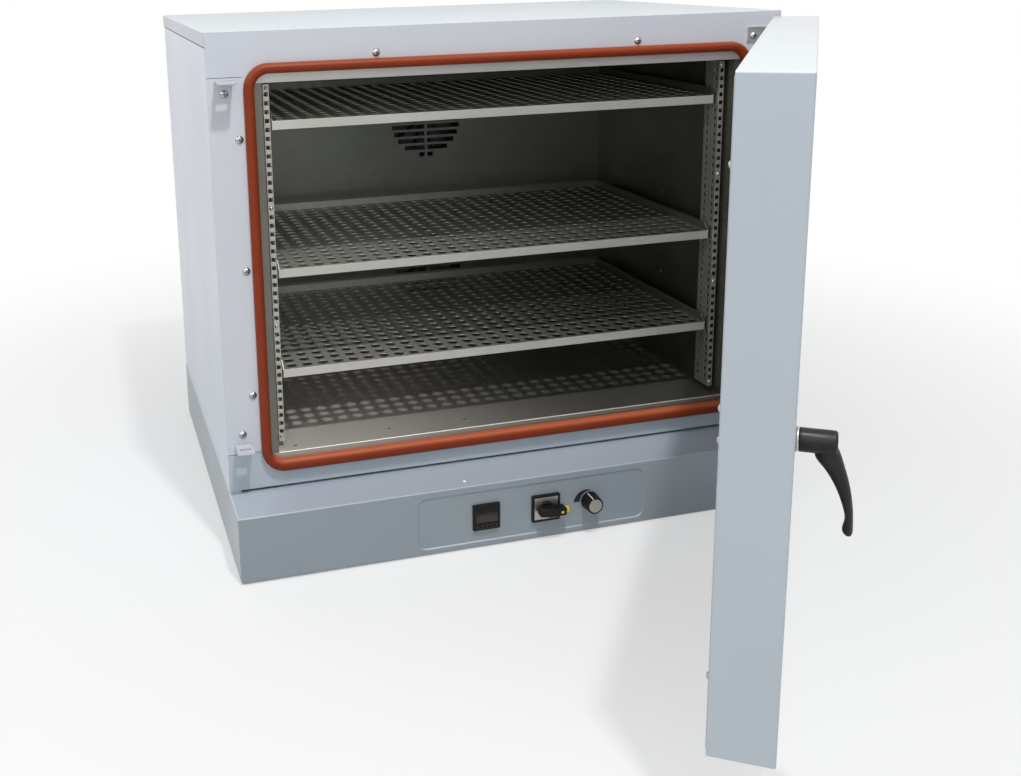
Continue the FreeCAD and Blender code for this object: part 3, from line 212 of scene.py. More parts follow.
def makeCasingPaint(name, look):
    # powder coat: fine orange peel, hand marks, specks and rubbed edges, and in some looks painted light that
    # makes faces that point up paler
    paint = Finish(name, Coat_Weight=look["coat"], Coat_Roughness=look["coatRoughness"],
                   Specular_IOR_Level=look["gloss"])
    peel = paint.noise(look["peelScale"], 2.0)
    waves = paint.noise(look["waveScale"], 2.0)
    marks = paint.spread(paint.noise(look["markScale"], 3.0), 0.35, 0.65)
    specks = paint.spread(paint.noise(look["speckScale"], 2.0), 0.66, 0.74)
    worn = paint.spread(paint.noise(look["wearScale"], 4.0), look["wearFrom"], look["wearTo"])
    tone = paint.blend(paint.spread(waves, 0.35, 0.65), look["colour"], look["shade"])
    tone = paint.blend(paint.edgeMask(look["edge"]) * worn * look["wear"], tone, look["chipped"])
    tone = paint.blend(specks * look["speckShare"], tone, look["chipped"])
    # painted light: faces that point up are blended towards a paler colour, as if lit from above
    if "paintedTopLight" in look:
        tone = paint.blend(paint.facingUp(0.35, 0.75), tone, look["paintedTopLight"])
    paint.feed("Base Color", tone)
    paint.feed("Roughness", look["roughness"] + look["markRoughness"] * marks
               + look["speckRoughness"] * specks)
    paint.bump(peel + look["waveShare"] * waves, look["peelDepth"], look["peelStrength"],
               paint.softEdges(look["edge"]))
    return paint.material


# painted light and shade: the chamber's sides and back are one stainless steel coloured dark to stand for the dark
# they reflect and the shade inside, and its floor and roof are coloured pale for the light on them
chamberSteel = {"colour": (0.18, 0.175, 0.15), "tint": (0.14, 0.135, 0.115), "stretch": (4, 4, 700),
                "metallic": 0.9, "roughness": 0.33, "depth": 0.04 * mm}
# painted shade: the shelves and the chamber's floor darken towards the right, and the top shelf nearly all over
shelfSteel = {"colour": (0.61, 0.595, 0.55), "tint": (0.53, 0.515, 0.47), "stretch": (5, 600, 600),
              "metallic": 0.75, "roughness": 0.42, "depth": 0.03 * mm, "bare": (0.17, 0.17, 0.145),
              "bareLeft": -0.36, "bareRight": 0.36, "frontLip": -274.7 * mm}
steelLooks = {
    "chamberSides": chamberSteel,
    "chamberBack": dict(chamberSteel, colour=(0.215, 0.225, 0.20), tint=(0.17, 0.178, 0.155)),
    "chamberFloor": {"colour": (0.68, 0.65, 0.595), "tint": (0.60, 0.57, 0.515), "stretch": (4, 700, 4),
                     "metallic": 0.3, "roughness": 0.36, "depth": 0.04 * mm,
                     "flangeShade": (0.36, 0.345, 0.30), "flangeShadeFrom": -308.7 * mm,
                     "bare": (0.17, 0.165, 0.14), "bareLeft": -0.46, "bareRight": 0.26},
    "chamberRoof": {"colour": (0.60, 0.585, 0.55), "tint": (0.52, 0.51, 0.475), "stretch": (4, 700, 4),
                    "metallic": 0.4, "roughness": 0.36, "depth": 0.04 * mm},
    "shelfSheet": shelfSteel,
    "topShelfSheet": dict(shelfSteel, bare=(0.15, 0.15, 0.13), bareLeft=-0.9, bareRight=0.1),
    "uprightSheet": {"colour": (0.50, 0.49, 0.455), "tint": (0.42, 0.41, 0.37), "stretch": (700, 700, 5),
                     "metallic": 0.85, "roughness": 0.36, "depth": 0.03 * mm},
    # painted highlight: a bright steel for the floor's rolled edge and the ledge screw's head
    "highlightSteel": {"colour": (0.85, 0.83, 0.78), "tint": (0.78, 0.76, 0.71), "stretch": (20, 900, 900),
                   "metallic": 0.8, "roughness": 0.44, "depth": 0.02 * mm},
    "turnedTrim": {"colour": (0.70, 0.69, 0.65), "tint": (0.60, 0.59, 0.55), "stretch": (900, 900, 20),
                   "metallic": 0.9, "roughness": 0.28, "depth": 0.02 * mm},
    "dialFace": {"colour": (0.36, 0.355, 0.29), "tint": (0.30, 0.295, 0.24), "stretch": (900, 20, 900),
                 "metallic": 0.6, "roughness": 0.34, "depth": 0.01 * mm},
    "switchFace": {"colour": (0.48, 0.45, 0.40), "tint": (0.40, 0.375, 0.33), "stretch": (900, 900, 20),
                   "metallic": 0.85, "roughness": 0.26, "depth": 0.01 * mm},
}
steelSurface = {"streakScale": 0.12, "streakShare": 0.5, "cloudScale": 5.0, "stainScale": 26.0,
                "stainShare": 0.18, "stain": (0.30, 0.25, 0.17), "bareShare": 0.92, "bareShine": 0.7,
                "edge": 0.5 * mm}


def makeBrushedSteel(name, look):
    # sheet with a drawn grain, heat tint in clouds, rubbed streaks and a few stains
    look = dict(steelSurface, **look)
    steel = Finish(name, Metallic=look["metallic"])
    grain = steel.noise(1.0, 3.0, look["stretch"], 0.6)
    streaks = steel.noise(look["streakScale"], 4.0, look["stretch"], 0.7)
    clouds = steel.noise(look["cloudScale"], 5.0, roughness=0.6)
    stains = steel.spread(steel.noise(look["stainScale"], 6.0, roughness=0.7), 0.62, 0.72)
    tone = steel.blend(steel.spread(clouds, 0.35, 0.68), look["colour"], look["tint"])
    tone = steel.blend(look["streakShare"] * streaks, tone, look["tint"])
    tone = steel.blend(look["stainShare"] * stains, tone, look["stain"])
    if "flangeShade" in look:   # painted shade: the flange in front of the floor is coloured darker than the floor
        tone = steel.blend(steel.along("Y", steel.place()) < look["flangeShadeFrom"], tone, look["flangeShade"])
    if "bare" in look:   # painted shade: darker and more mirror-like towards the right, where the open door shades the inside, but not on a shelf's front lip
        shadedRight = steel.spread(steel.along("X", steel.place()), look["bareLeft"], look["bareRight"])
        if "frontLip" in look:
            shadedRight = shadedRight * (steel.along("Y", steel.place()) > look["frontLip"])
        tone = steel.blend(look["bareShare"] * shadedRight, tone, look["bare"])
        steel.feed("Metallic", look["metallic"] + (1 - look["metallic"]) * look["bareShine"] * shadedRight)
    steel.feed("Base Color", tone)
    steel.feed("Roughness", look["roughness"] - 0.04 + 0.12 * grain + 0.08 * clouds + 0.08 * stains)
    steel.bump(grain, look["depth"], 0.5, steel.softEdges(look["edge"]))
    return steel.material


zincPlate = {"colour": (0.60, 0.61, 0.62), "bloom": (0.70, 0.71, 0.70), "roughness": 0.38,
             "crystalScale": 120.0, "hazeScale": 30.0, "depth": 0.03 * mm, "edge": 0.4 * mm}


def makeZincPlate(look):
    # plated sheet with faint crystal patches
    zinc = Finish("zincPlate", Metallic=1.0)
    crystals = zinc.add("ShaderNodeTexVoronoi", {},
                        {"Vector": zinc.point(), "Scale": look["crystalScale"]}, "Color")
    patch = zinc.add("ShaderNodeSeparateColor", {}, {0: crystals})
    haze = zinc.noise(look["hazeScale"], 5.0, roughness=0.65)
    zinc.feed("Base Color", zinc.blend(0.6 * patch + 0.4 * haze, look["colour"], look["bloom"]))
    zinc.feed("Roughness", look["roughness"] + 0.12 * haze - 0.06 * patch)
    zinc.bump(patch + haze, look["depth"], 0.4, zinc.softEdges(look["edge"]))
    return zinc.material


screwMetal = {"colour": (0.50, 0.50, 0.51), "recess": (0.012, 0.012, 0.015), "roughness": 0.14,
              "recessDepth": 3 * mm, "scuffScale": 900.0, "filmScale": 140.0, "depth": 0.02 * mm,
              "edge": 0.6 * mm}


def makeScrewMetal(look):
    # polished heads with a faint dark film, and painted shade in their recesses
    screw = Finish("screwMetal", Metallic=1.0)
    scuffs = screw.noise(look["scuffScale"], 4.0, roughness=0.7)
    film = screw.noise(look["filmScale"], 3.0)
    openToLight = screw.add("ShaderNodeAmbientOcclusion", {"samples": 4, "only_local": True},
                         {"Distance": look["recessDepth"]}, "AO")
    tone = screw.blend(0.3 * film, look["colour"], look["recess"])
    # painted shade: recesses and enclosed spots are darkened by how shut in they are
    screw.feed("Base Color", screw.blend(screw.spread(openToLight, 0.55, 0.95), look["recess"], tone))
    screw.feed("Roughness", look["roughness"] + 0.18 * scuffs)
    screw.bump(scuffs, look["depth"], 0.4, screw.softEdges(look["edge"]))
    return screw.material


siliconeRubber = {
    "colour": (0.205, 0.028, 0.006), "paintedTopLighty": (0.25, 0.045, 0.013), "lit": (0.45, 0.11, 0.047),
    "roughness": 0.38, "gloss": 0.2, "litLow": 0.2, "litHigh": 0.8,
    "skinScale": 500.0, "skinDepth": 0.05 * mm, "waveScale": 28.0, "waveShare": 6.0, "bloomScale": 60.0,
}


def makeSiliconeRubber(look):
    # moulded rubber: fine skin, faint dusty bloom, small compression waves, and painted light that makes it paler
    # where it faces up, most on its bottom run
    rubber = Finish("siliconeRubber", Specular_IOR_Level=look["gloss"])
    skin = rubber.noise(look["skinScale"], 2.0)
    waves = rubber.noise(look["waveScale"], 3.0)
    bloom = rubber.spread(rubber.noise(look["bloomScale"], 6.0, roughness=0.7), 0.5, 0.75)
    tone = rubber.blend(0.3 * bloom + 0.15 * waves, look["colour"], look["paintedTopLighty"])
    # painted light: faces that point up are paler, the more so the lower they are
    height = rubber.spread(rubber.along("Z", rubber.place()), look["litLow"], look["litHigh"], 1.0, 0.3)
    rubber.feed("Base Color", rubber.blend(rubber.facingUp(0.1, 0.8) * height, tone, look["lit"]))
    rubber.feed("Roughness", look["roughness"] + 0.16 * bloom + 0.05 * skin)
    rubber.bump(skin + look["waveShare"] * waves, look["skinDepth"], 0.5)
    return rubber.material


mouldedPlastics = {
    "blackMoulding": {"colour": (0.009, 0.0095, 0.010), "scuffed": (0.024, 0.025, 0.026),
                      "roughness": 0.36, "grain": 1500.0, "depth": 0.03 * mm},
    "keypadFilm": {"colour": (0.030, 0.029, 0.024), "scuffed": (0.045, 0.043, 0.036),
                   "roughness": 0.32, "grain": 1800.0, "depth": 0.01 * mm},
    "seamShade": {"colour": (0.055, 0.060, 0.066), "scuffed": (0.10, 0.11, 0.12),
                  "roughness": 0.70, "grain": 900.0, "depth": 0.01 * mm},
    "buttonCaps": {"colour": (0.006, 0.006, 0.006), "scuffed": (0.015, 0.015, 0.015),
                   "roughness": 0.40, "grain": 1800.0, "depth": 0.02 * mm},
    "yellowMoulding": {"colour": (0.76, 0.53, 0.02), "scuffed": (0.60, 0.42, 0.05),
                       "roughness": 0.30, "grain": 1200.0, "depth": 0.02 * mm},
    "scaleInk": {"colour": (0.02, 0.022, 0.025), "scuffed": (0.06, 0.062, 0.066),
                 "roughness": 0.45, "grain": 2400.0, "depth": 0.01 * mm},
    "pointerPaint": {"colour": (0.80, 0.80, 0.78), "scuffed": (0.62, 0.61, 0.58),
                     "roughness": 0.45, "grain": 2400.0, "depth": 0.01 * mm},
}
plasticSurface = {"gloss": 0.15, "scuffScale": 90.0, "rubbedEdge": 0.7 * mm, "edge": 0.4 * mm}


def makeMouldedPlastic(name, look):
    # fine mould grain, rubbed smooth along the edges
    look = dict(plasticSurface, **look)
    plastic = Finish(name, Specular_IOR_Level=look["gloss"])
    grain = plastic.noise(look["grain"], 2.0)
    scuffs = plastic.spread(plastic.noise(look["scuffScale"], 6.0, roughness=0.75), 0.52, 0.72)
    rubbed = plastic.edgeMask(look["rubbedEdge"])
    plastic.feed("Base Color", plastic.blend(0.5 * scuffs + 0.4 * rubbed, look["colour"], look["scuffed"]))
    plastic.feed("Roughness", look["roughness"] + 0.14 * scuffs - 0.10 * rubbed)
    plastic.bump(grain, look["depth"], 0.6, plastic.softEdges(look["edge"]))
    return plastic.material


leverCoat = {"colour": (0.010, 0.010, 0.011), "rubbed": (0.022, 0.022, 0.024), "roughness": 0.48,
             "gloss": 0.28, "pebbleScale": 900.0, "pebbleDepth": 0.08 * mm, "polishScale": 32.0}


def makeLeverCoat(look):
    # textured powder coat on a cast lever, smoother where a hand has polished it
    coat = Finish("leverCoat", Specular_IOR_Level=look["gloss"])
    pebble = coat.add("ShaderNodeTexVoronoi", {"feature": "SMOOTH_F1"},
                      {"Vector": coat.point(), "Scale": look["pebbleScale"]})
    polish = coat.spread(coat.noise(look["polishScale"], 4.0), 0.42, 0.62)
    coat.feed("Base Color", coat.blend(0.6 * polish, look["colour"], look["rubbed"]))
    coat.feed("Roughness", look["roughness"] - 0.14 * polish)
    coat.bump(pebble, look["pebbleDepth"], 0.5)
    return coat.material


displayGlass = {"colour": (0.008, 0.008, 0.0065), "haze": (0.062, 0.054, 0.045), "roughness": 0.12,
                "gloss": 0.12, "smearScale": 70.0, "hazeLow": 58 * mm, "hazeHigh": 73 * mm}


def makeDisplayGlass(look):
    # dark window with finger marks, and a paler tone low down that fades out towards its upper edge
    glass = Finish("displayGlass", Specular_IOR_Level=look["gloss"])
    smears = glass.spread(glass.noise(look["smearScale"], 3.0, (1, 1, 3), 0.6), 0.35, 0.7)
    haze = glass.spread(glass.along("Z", glass.place()), look["hazeHigh"], look["hazeLow"])
    glass.feed("Base Color", glass.blend(0.2 * smears + 0.8 * haze, look["colour"], look["haze"]))
    glass.feed("Roughness", look["roughness"] + 0.06 * smears)
    return glass.material


woolFibre = {"colour": (0.62, 0.50, 0.24), "shade": (0.38, 0.29, 0.12), "roughness": 0.95,
             "strandScale": 90.0, "strandDepth": 2 * mm}


def makeWoolFibre(look):
    # slabs of matted strands
    wool = Finish("woolFibre", Roughness=look["roughness"])
    strands = wool.noise(look["strandScale"], 8.0, (1, 1, 6), 0.75)
    wool.feed("Base Color", wool.blend(wool.spread(strands, 0.3, 0.7), look["shade"], look["colour"]))
    wool.bump(strands, look["strandDepth"], 0.8)
    return wool.material


castMetal = {"colour": (0.12, 0.12, 0.117), "shade": (0.07, 0.07, 0.068), "roughness": 0.42,
             "poreScale": 420.0, "poreDepth": 0.1 * mm, "edge": 0.6 * mm}


def makeCastMetal(look):
    # raw castings with fine pores, coloured very dark as painted shade behind the perforated wall
    cast = Finish("castMetal", Metallic=1.0)
    pores = cast.noise(look["poreScale"], 5.0, roughness=0.7)
    cast.feed("Base Color", cast.blend(cast.spread(pores, 0.35, 0.65), look["shade"], look["colour"]))
    cast.feed("Roughness", look["roughness"] + 0.2 * pores)
    cast.bump(pores, look["poreDepth"], 0.6, cast.softEdges(look["edge"]))
    return cast.material


heaterSheath = {"colour": (0.20, 0.17, 0.14), "blued": (0.09, 0.08, 0.11), "roughness": 0.45,
                "heatScale": 24.0, "depth": 0.1 * mm}


def makeHeaterSheath(look):
    # steel tube, blued in patches by its own heat
    sheath = Finish("heaterSheath", Metallic=1.0)
    heat = sheath.noise(look["heatScale"], 5.0, roughness=0.65)
    sheath.feed("Base Color", sheath.blend(sheath.spread(heat, 0.35, 0.65), look["colour"], look["blued"]))
    sheath.feed("Roughness", look["roughness"] + 0.2 * heat)
    sheath.bump(heat, look["depth"], 0.4)
    return sheath.material


finishes = {
    "zincPlate": makeZincPlate(zincPlate),
    "screwMetal": makeScrewMetal(screwMetal),
    "siliconeRubber": makeSiliconeRubber(siliconeRubber),
    "leverCoat": makeLeverCoat(leverCoat),
    "displayGlass": makeDisplayGlass(displayGlass),
    "woolFibre": makeWoolFibre(woolFibre),
    "castMetal": makeCastMetal(castMetal),
    "heaterSheath": makeHeaterSheath(heaterSheath),
}
for makeFinish, looks in ((makeCasingPaint, casingPaints), (makeBrushedSteel, steelLooks),
                          (makeMouldedPlastic, mouldedPlastics)):
    for finishName, finishLook in looks.items():
        finishes[finishName] = makeFinish(finishName, finishLook)
print("finishes made:", len(finishes))

slotFinish = {
    "casing_paint": "casingPaint", "inner_panel_paint": "casingPaint", "zinc_plate": "zincPlate",
    "screw_steel": "screwMetal", "chamber_steel": "chamberSides", "shelf_steel": "shelfSheet",
    "upright_steel": "uprightSheet", "seal_rubber": "siliconeRubber", "wool": "woolFibre",
    "fan_metal": "castMetal", "motor_paint": "motorPaint", "heater_steel": "heaterSheath",
    "black_plastic": "blackMoulding", "display_window": "displayGlass", "button_plastic": "buttonCaps",
    "silver_trim": "turnedTrim", "yellow_plastic": "yellowMoulding", "scale_print": "scaleInk",
    "lever_metal": "leverCoat",
}
# nodes that look different from the rest of their slot; many are lighter or darker copies of their slot's finish,
# as painted light and shade, and the rails and the plenum's back take the dark side steel as painted shade
nodeFinish = {
    "base_shell": "basePaintShadeAndLight", "front_sill": "sillPaintShaded", "door_pan": "doorPaintShadeAndLight", "top_cover": "lidPaint",
    "side_panel_left": "sidePaintLightTint", "side_panel_right": "sidePaintLightTint", "latch_keepers": "keeperPaint",
    "chamber_floor": "chamberFloor", "chamber_roof": "chamberRoof", "chamber_back": "chamberBack",
    "plenum_back": "chamberSides", "shelf_rails": "chamberSides", "shelf_top": "topShelfSheet",
    "switch_plate": "switchFace", "dial_cap": "dialFace",
}


def dressFrame():
    slotOf = {part["node"]: part["material_slot"] for part in frame["record"]["subparts"]}
    for name, node in nodes.items():
        finish = nodeFinish.get(name, slotFinish[slotOf[name]])
        node.data.materials.clear()
        node.data.materials.append(finishes[finish])


dressFrame()
print("frame dressed")


def mergeDoubles(mesh):
    bmesh.ops.remove_doubles(mesh, verts=mesh.verts, dist=mergeDistance)


def finishPiece(name, mesh, finish, body, replaced=(), smooth=True, swing=False):
    # turns a bmesh into an object of the scene that moves with a body
    mergeDoubles(mesh)
    bmesh.ops.recalc_face_normals(mesh, faces=mesh.faces)
    if swing:
        mesh.transform(doorSwing)
    for face in mesh.faces:
        face.smooth = smooth
    data = bpy.data.meshes.new(name)
    mesh.to_mesh(data)
    mesh.free()
    data.materials.append(finishes[finish])
    piece = bpy.data.objects.new(name, data)
    bpy.context.scene.collection.objects.link(piece)
    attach(piece, body)
    if replaced:
        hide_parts(*replaced)
    return piece


def turned(profile, segments):
    # a solid of revolution about Z from (radius, height) points
    mesh = bmesh.new()
    points = [mesh.verts.new((radius, 0, height)) for radius, height in profile]
    edges = [mesh.edges.new(pair) for pair in zip(points, points[1:])]
    bmesh.ops.spin(mesh, geom=points + edges, cent=(0, 0, 0), axis=(0, 0, 1), angle=math.tau,
                   steps=segments, use_merge=True, use_duplicate=False)
    mergeDoubles(mesh)
    return mesh


def arcPoints(centreRadius, centreHeight, radius, startAngle, endAngle, steps):
    points = []
    for step in range(steps + 1):
        angle = startAngle + (endAngle - startAngle) * step / steps
        points.append((centreRadius + radius * math.cos(angle), centreHeight + radius * math.sin(angle)))
    return points


def discProfile(radius, height, edge, steps):
    # the outline of a disc whose far rim is rounded
    rim = arcPoints(radius - edge, height - edge, edge, 0, quarterTurn, steps)
    return [(0, 0), (radius, 0)] + rim + [(0, height)]


def roundEdges(mesh, edges, radius, segments):
    bmesh.ops.bevel(mesh, geom=edges, offset=radius, segments=segments, profile=0.5,
                    affect="EDGES", material=-1)


def boxMesh(low, high, radius=0.0, segments=1):
    mesh = bmesh.new()
    centre = (Vector(low) + Vector(high)) / 2
    size = Vector(high) - Vector(low)
    bmesh.ops.create_cube(mesh, size=1.0, matrix=Matrix.Translation(centre) @ Matrix.Diagonal((*size, 1.0)))
    if radius:
        roundEdges(mesh, mesh.edges[:], radius, segments)
    return mesh


def frontFace(mesh):
    return min(mesh.faces, key=lambda face: face.calc_center_median().y)


def sinkFront(mesh, border, depth):
    # leaves a border and moves the rest of the front back
    front = frontFace(mesh)
    bmesh.ops.inset_region(mesh, faces=[front], thickness=border, depth=0)
    bmesh.ops.translate(mesh, verts=front.verts, vec=(0, depth, 0))


def addTo(mesh, other):
    # moves the faces of one bmesh into another
    holder = bpy.data.meshes.new("holder")
    other.to_mesh(holder)
    other.free()
    mesh.from_mesh(holder)
    bpy.data.meshes.remove(holder)


def madeOf(kind, items):
    return [item for item in items if isinstance(item, kind)]


sealBead = {"width": 17 * mm, "lowWidth": 22.5 * mm, "cornerRadius": 42 * mm,
            "cornerSteps": 20, "curveSteps": 12}


def makeSealBead(look):
    # one moulded bead led round the chamber's mouth: straight lengths are drawn out and corners are spun
    low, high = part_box("door_seal")
    width, outer = look["width"], look["cornerRadius"]
    proud, crown = high.y - low.y, width / 2
    mesh = bmesh.new()
    start = Vector((low.x + outer, high.y, low.z))
    dome = arcPoints(crown, proud - crown, crown, math.pi, 0, look["curveSteps"])
    profile = [(0, 0)] + dome + [(width, 0)]
    points = [mesh.verts.new(start + Vector((0, -rise, across))) for across, rise in profile]
    edges = [mesh.edges.new(pair) for pair in zip(points, points[1:])]
    right = Vector((high.x - low.x - 2 * outer, 0, 0))
    up = Vector((0, 0, high.z - low.z - 2 * outer))
    runs = [right, up, -right, -up]
    corner = Vector((high.x - outer, high.y, low.z + outer))
    for side, run in enumerate(runs):
        drawn = bmesh.ops.extrude_edge_only(mesh, edges=edges)["geom"]
        bmesh.ops.translate(mesh, verts=madeOf(bmesh.types.BMVert, drawn), vec=run)
        last = madeOf((bmesh.types.BMVert, bmesh.types.BMEdge), drawn)
        spun = bmesh.ops.spin(mesh, geom=last, cent=corner, axis=(0, -1, 0), angle=quarterTurn,
                              steps=look["cornerSteps"], use_merge=False, use_duplicate=False)
        edges = madeOf(bmesh.types.BMEdge, spun["geom_last"])
        corner += runs[(side + 1) % len(runs)]
    mergeDoubles(mesh)
    widen = look["lowWidth"] / width - 1
    for vertex in mesh.verts:   # the bead broadens towards its bottom run
        middle = min(max(vertex.co.x, low.x + outer), high.x - outer)
        centre = Vector((middle, vertex.co.y, low.z + outer))
        reach = vertex.co - centre
        if reach.z < 0:
            broad = 1 + widen * (reach.z / reach.length) ** 2
            vertex.co = centre + reach * ((outer - (outer - reach.length) * broad) / reach.length)
    finishPiece("sealBead", mesh, "siliconeRubber", "cabinet", ["door_seal"])


def spindleShut():
    # the lever's pivot with the door shut
    return swingShut @ Vector(joints["lever_turn"]["pos_m"])


def shutFace(node):
    # the nearest face of a door node to the cabinet, with the door shut
    return max((swingShut @ vertex.co).y for vertex in nodes[node].data.vertices)


def subdivided(mesh, levels):
    # the smooth form of a coarse bmesh
    data = bpy.data.meshes.new("coarse")
    mesh.to_mesh(data)
    mesh.free()
    holder = bpy.data.objects.new("coarse", data)
    bpy.context.scene.collection.objects.link(holder)
    rounding = holder.modifiers.new("rounding", "SUBSURF")
    rounding.levels = rounding.render_levels = levels
    shape = bpy.data.meshes.new_from_object(holder.evaluated_get(bpy.context.evaluated_depsgraph_get()))
    fine = bmesh.new()
    fine.from_mesh(shape)
    bpy.data.objects.remove(holder)
    bpy.data.meshes.remove(data)
    bpy.data.meshes.remove(shape)
    return fine


leverShape = {
    "hubRadius": 13.4 * mm, "hubLength": 40 * mm, "hubRound": 3 * mm, "hubChamfer": 0.4 * mm,
    "hubSegments": 64, "hubSteps": 6, "around": 16, "levels": 2,
    "voxel": 0.8 * mm, "blends": 9, "blendFactor": 0.5,
    # each section's place out from the hub's inner end and down from its axis, its half height and
    # half width, all in mm, and its lean
    "stations": [(24, 3, 12.5, 10.2, 0.70), (29.5, 12, 14.0, 10.8, 0.64), (34.5, 20, 12.2, 10.7, 0.57),
                 (39, 28.5, 10.2, 10.3, 0.50), (44.5, 40.5, 8.5, 9.7, 0.42), (48.6, 51, 7.3, 9.3, 0.34),
                 (52.6, 65, 5.9, 8.9, 0.24), (55.3, 77, 4.9, 8.6, 0.14), (56.4, 86.5, 4.3, 8.6, 0.0),
                 (55.6, 93.4, 5.4, 9.0, 0.0), (55.0, 99.3, 6.2, 9.0, 0.0), (56.0, 103.6, 4.7, 7.6, 0.0),
                 (56.8, 105.6, 2.4, 4.6, 0.0)],
}


def makeLever(look):
    # the arm is drawn out section by section, and one skin is then cast over arm and hub
    pivot = spindleShut()
    face = shutFace("lever")
    mesh = bmesh.new()
    rims = []
    for out, drop, high, wide, lean in look["stations"]:
        place = Matrix.Translation((pivot.x, face - out * mm, pivot.z - drop * mm))
        size = Matrix.Diagonal((wide * mm, high * mm, 1.0, 1.0))
        section = place @ Matrix.Rotation(-lean, 4, "X") @ size
        if rims:
            drawn = bmesh.ops.extrude_edge_only(mesh, edges=rims[-1])["geom"]
            bmesh.ops.transform(mesh, verts=madeOf(bmesh.types.BMVert, drawn),
                                matrix=section @ lastSection.inverted())
            rims.append(madeOf(bmesh.types.BMEdge, drawn))
        else:
            bmesh.ops.create_circle(mesh, cap_ends=False, radius=1.0, segments=look["around"],
                                    matrix=section)
            rims.append(mesh.edges[:])
        lastSection = section
    for rim in (rims[-1], rims[0]):
        bmesh.ops.edgeloop_fill(mesh, edges=rim)
    bmesh.ops.recalc_face_normals(mesh, faces=mesh.faces)
    mesh = subdivided(mesh, look["levels"])
    radius, chamfer = look["hubRadius"], look["hubChamfer"]
    outline = discProfile(radius, look["hubLength"], look["hubRound"], look["hubSteps"])[2:]
    hub = turned([(0, 0), (radius - chamfer, 0), (radius, chamfer)] + outline, look["hubSegments"])
    hub.transform(Matrix.Translation((pivot.x, face, pivot.z)) @ towardsUser)
    addTo(mesh, hub)
    lever = finishPiece("leverCasting", mesh, "leverCoat", "lever", ["lever"], swing=True)
    skin = lever.modifiers.new("skin", "REMESH")
    skin.mode = "VOXEL"
    skin.voxel_size = look["voxel"]
    skin.use_smooth_shade = True
    fillet = lever.modifiers.new("fillet", "SMOOTH")
    fillet.factor = look["blendFactor"]
    fillet.iterations = look["blends"]


leverRing = {"radius": 13.5 * mm, "thickness": 3 * mm, "round": 0.6 * mm, "steps": 4, "segments": 64}


def makeLeverRing(look):
    pivot = spindleShut()
    face = shutFace("lever") + clearance + look["thickness"]
    ring = turned(discProfile(look["radius"], look["thickness"], look["round"], look["steps"]),
                  look["segments"])
    ring.transform(Matrix.Translation((pivot.x, face, pivot.z)) @ towardsUser)
    finishPiece("leverRing", ring, "turnedTrim", "door", ["lever_ring"], swing=True)


makeSealBead(sealBead)
makeLever(leverShape)
makeLeverRing(leverRing)
print("seal and lever made")


def onPanel(node, y):
    # carries a shape built at the origin to a control's middle, facing the user
    low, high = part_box(node)
    return Matrix.Translation(((low.x + high.x) / 2, y, (low.z + high.z) / 2)) @ towardsUser


dialKnob = {
    "base": 17 * mm, "baseHeight": 1.2 * mm, "rim": 16.4 * mm, "rimLow": 1.8 * mm, "rimHigh": 3 * mm,
    "front": 15.6 * mm, "frontLength": 1 * mm, "length": 25 * mm, "edge": 1.1 * mm,
    "edgeSteps": 5, "cap": 12.6 * mm, "capSunk": 0.8 * mm,
    "flutes": 24, "fluteDepth": 0.6 * mm, "fluteFrom": 2.5 * mm, "fluteTo": 24.6 * mm,
    "fluteInside": 13.6 * mm,
}


def makeDialKnob(look):
    edge, length, front = look["edge"], look["length"], look["front"]
    floor = length - look["capSunk"]
    profile = [(0, 0), (look["base"], 0), (look["base"], look["baseHeight"]), (look["rim"], look["rimLow"]),
               (look["rim"], look["rimHigh"]), (front, length - edge - look["frontLength"])]
    profile += arcPoints(front - edge, length - edge, edge, 0, quarterTurn, look["edgeSteps"])
    profile += [(look["cap"], length), (look["cap"], floor), (0, floor)]
    columns = 3 * look["flutes"]
    knob = turned(profile, columns)
    for vertex in knob.verts:   # every third column of the grip is pressed in
        x, y, height = vertex.co
        column = round(math.atan2(y, x) / math.tau * columns)
        reach = vertex.co.xy.length
        gripped = look["fluteFrom"] < height < look["fluteTo"] and reach > look["fluteInside"]
        if column % 3 == 0 and gripped:
            vertex.co.xy *= (reach - look["fluteDepth"]) / reach
    knob.transform(onPanel("dial_cap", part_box("dial_scale")[1].y - clearance))
    finishPiece("dialKnob", knob, "blackMoulding", "dial", ["dial_knob"])


dialPointer = {"turn": 20.0, "halfWidth": 0.7 * mm, "round": 0.1 * mm,
               "frontLow": (12.8 * mm, 24.4 * mm), "frontHigh": (15.8 * mm, 25.15 * mm),
               "sideLow": (14.8 * mm, 3 * mm), "sideHigh": (16.35 * mm, 24.5 * mm)}


def makeDialPointer(look):
    # a painted line over the knob's front rim and down its side
    half = look["halfWidth"]
    line = boxMesh((-half, *look["frontLow"]), (half, *look["frontHigh"]), look["round"])
    addTo(line, boxMesh((-half, *look["sideLow"]), (half, *look["sideHigh"]), look["round"]))
    place = onPanel("dial_cap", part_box("dial_scale")[1].y - clearance)
    line.transform(place @ Matrix.Rotation(math.radians(look["turn"]), 4, "Z"))
    finishPiece("dialPointer", line, "pointerPaint", "dial", smooth=False)


switchGrip = {
    "discRadius": 14 * mm, "discThickness": 4 * mm, "discRound": 1 * mm, "discSteps": 4, "discSegments": 48,
    "left": 18 * mm, "right": 30 * mm, "depth": 20 * mm, "intoDisc": 0.5 * mm, "slope": 5 * mm,
    "middleHeight": 18 * mm, "tipHeight": 14 * mm, "round": 2.2 * mm, "roundSegments": 4,
    "ribs": 5, "ribPitch": 3.4 * mm, "ribsFromTip": 6 * mm, "ribHalf": 0.7 * mm, "ribProud": 0.5 * mm,
    "ribEnds": 3 * mm, "ribRound": 0.35 * mm,
}


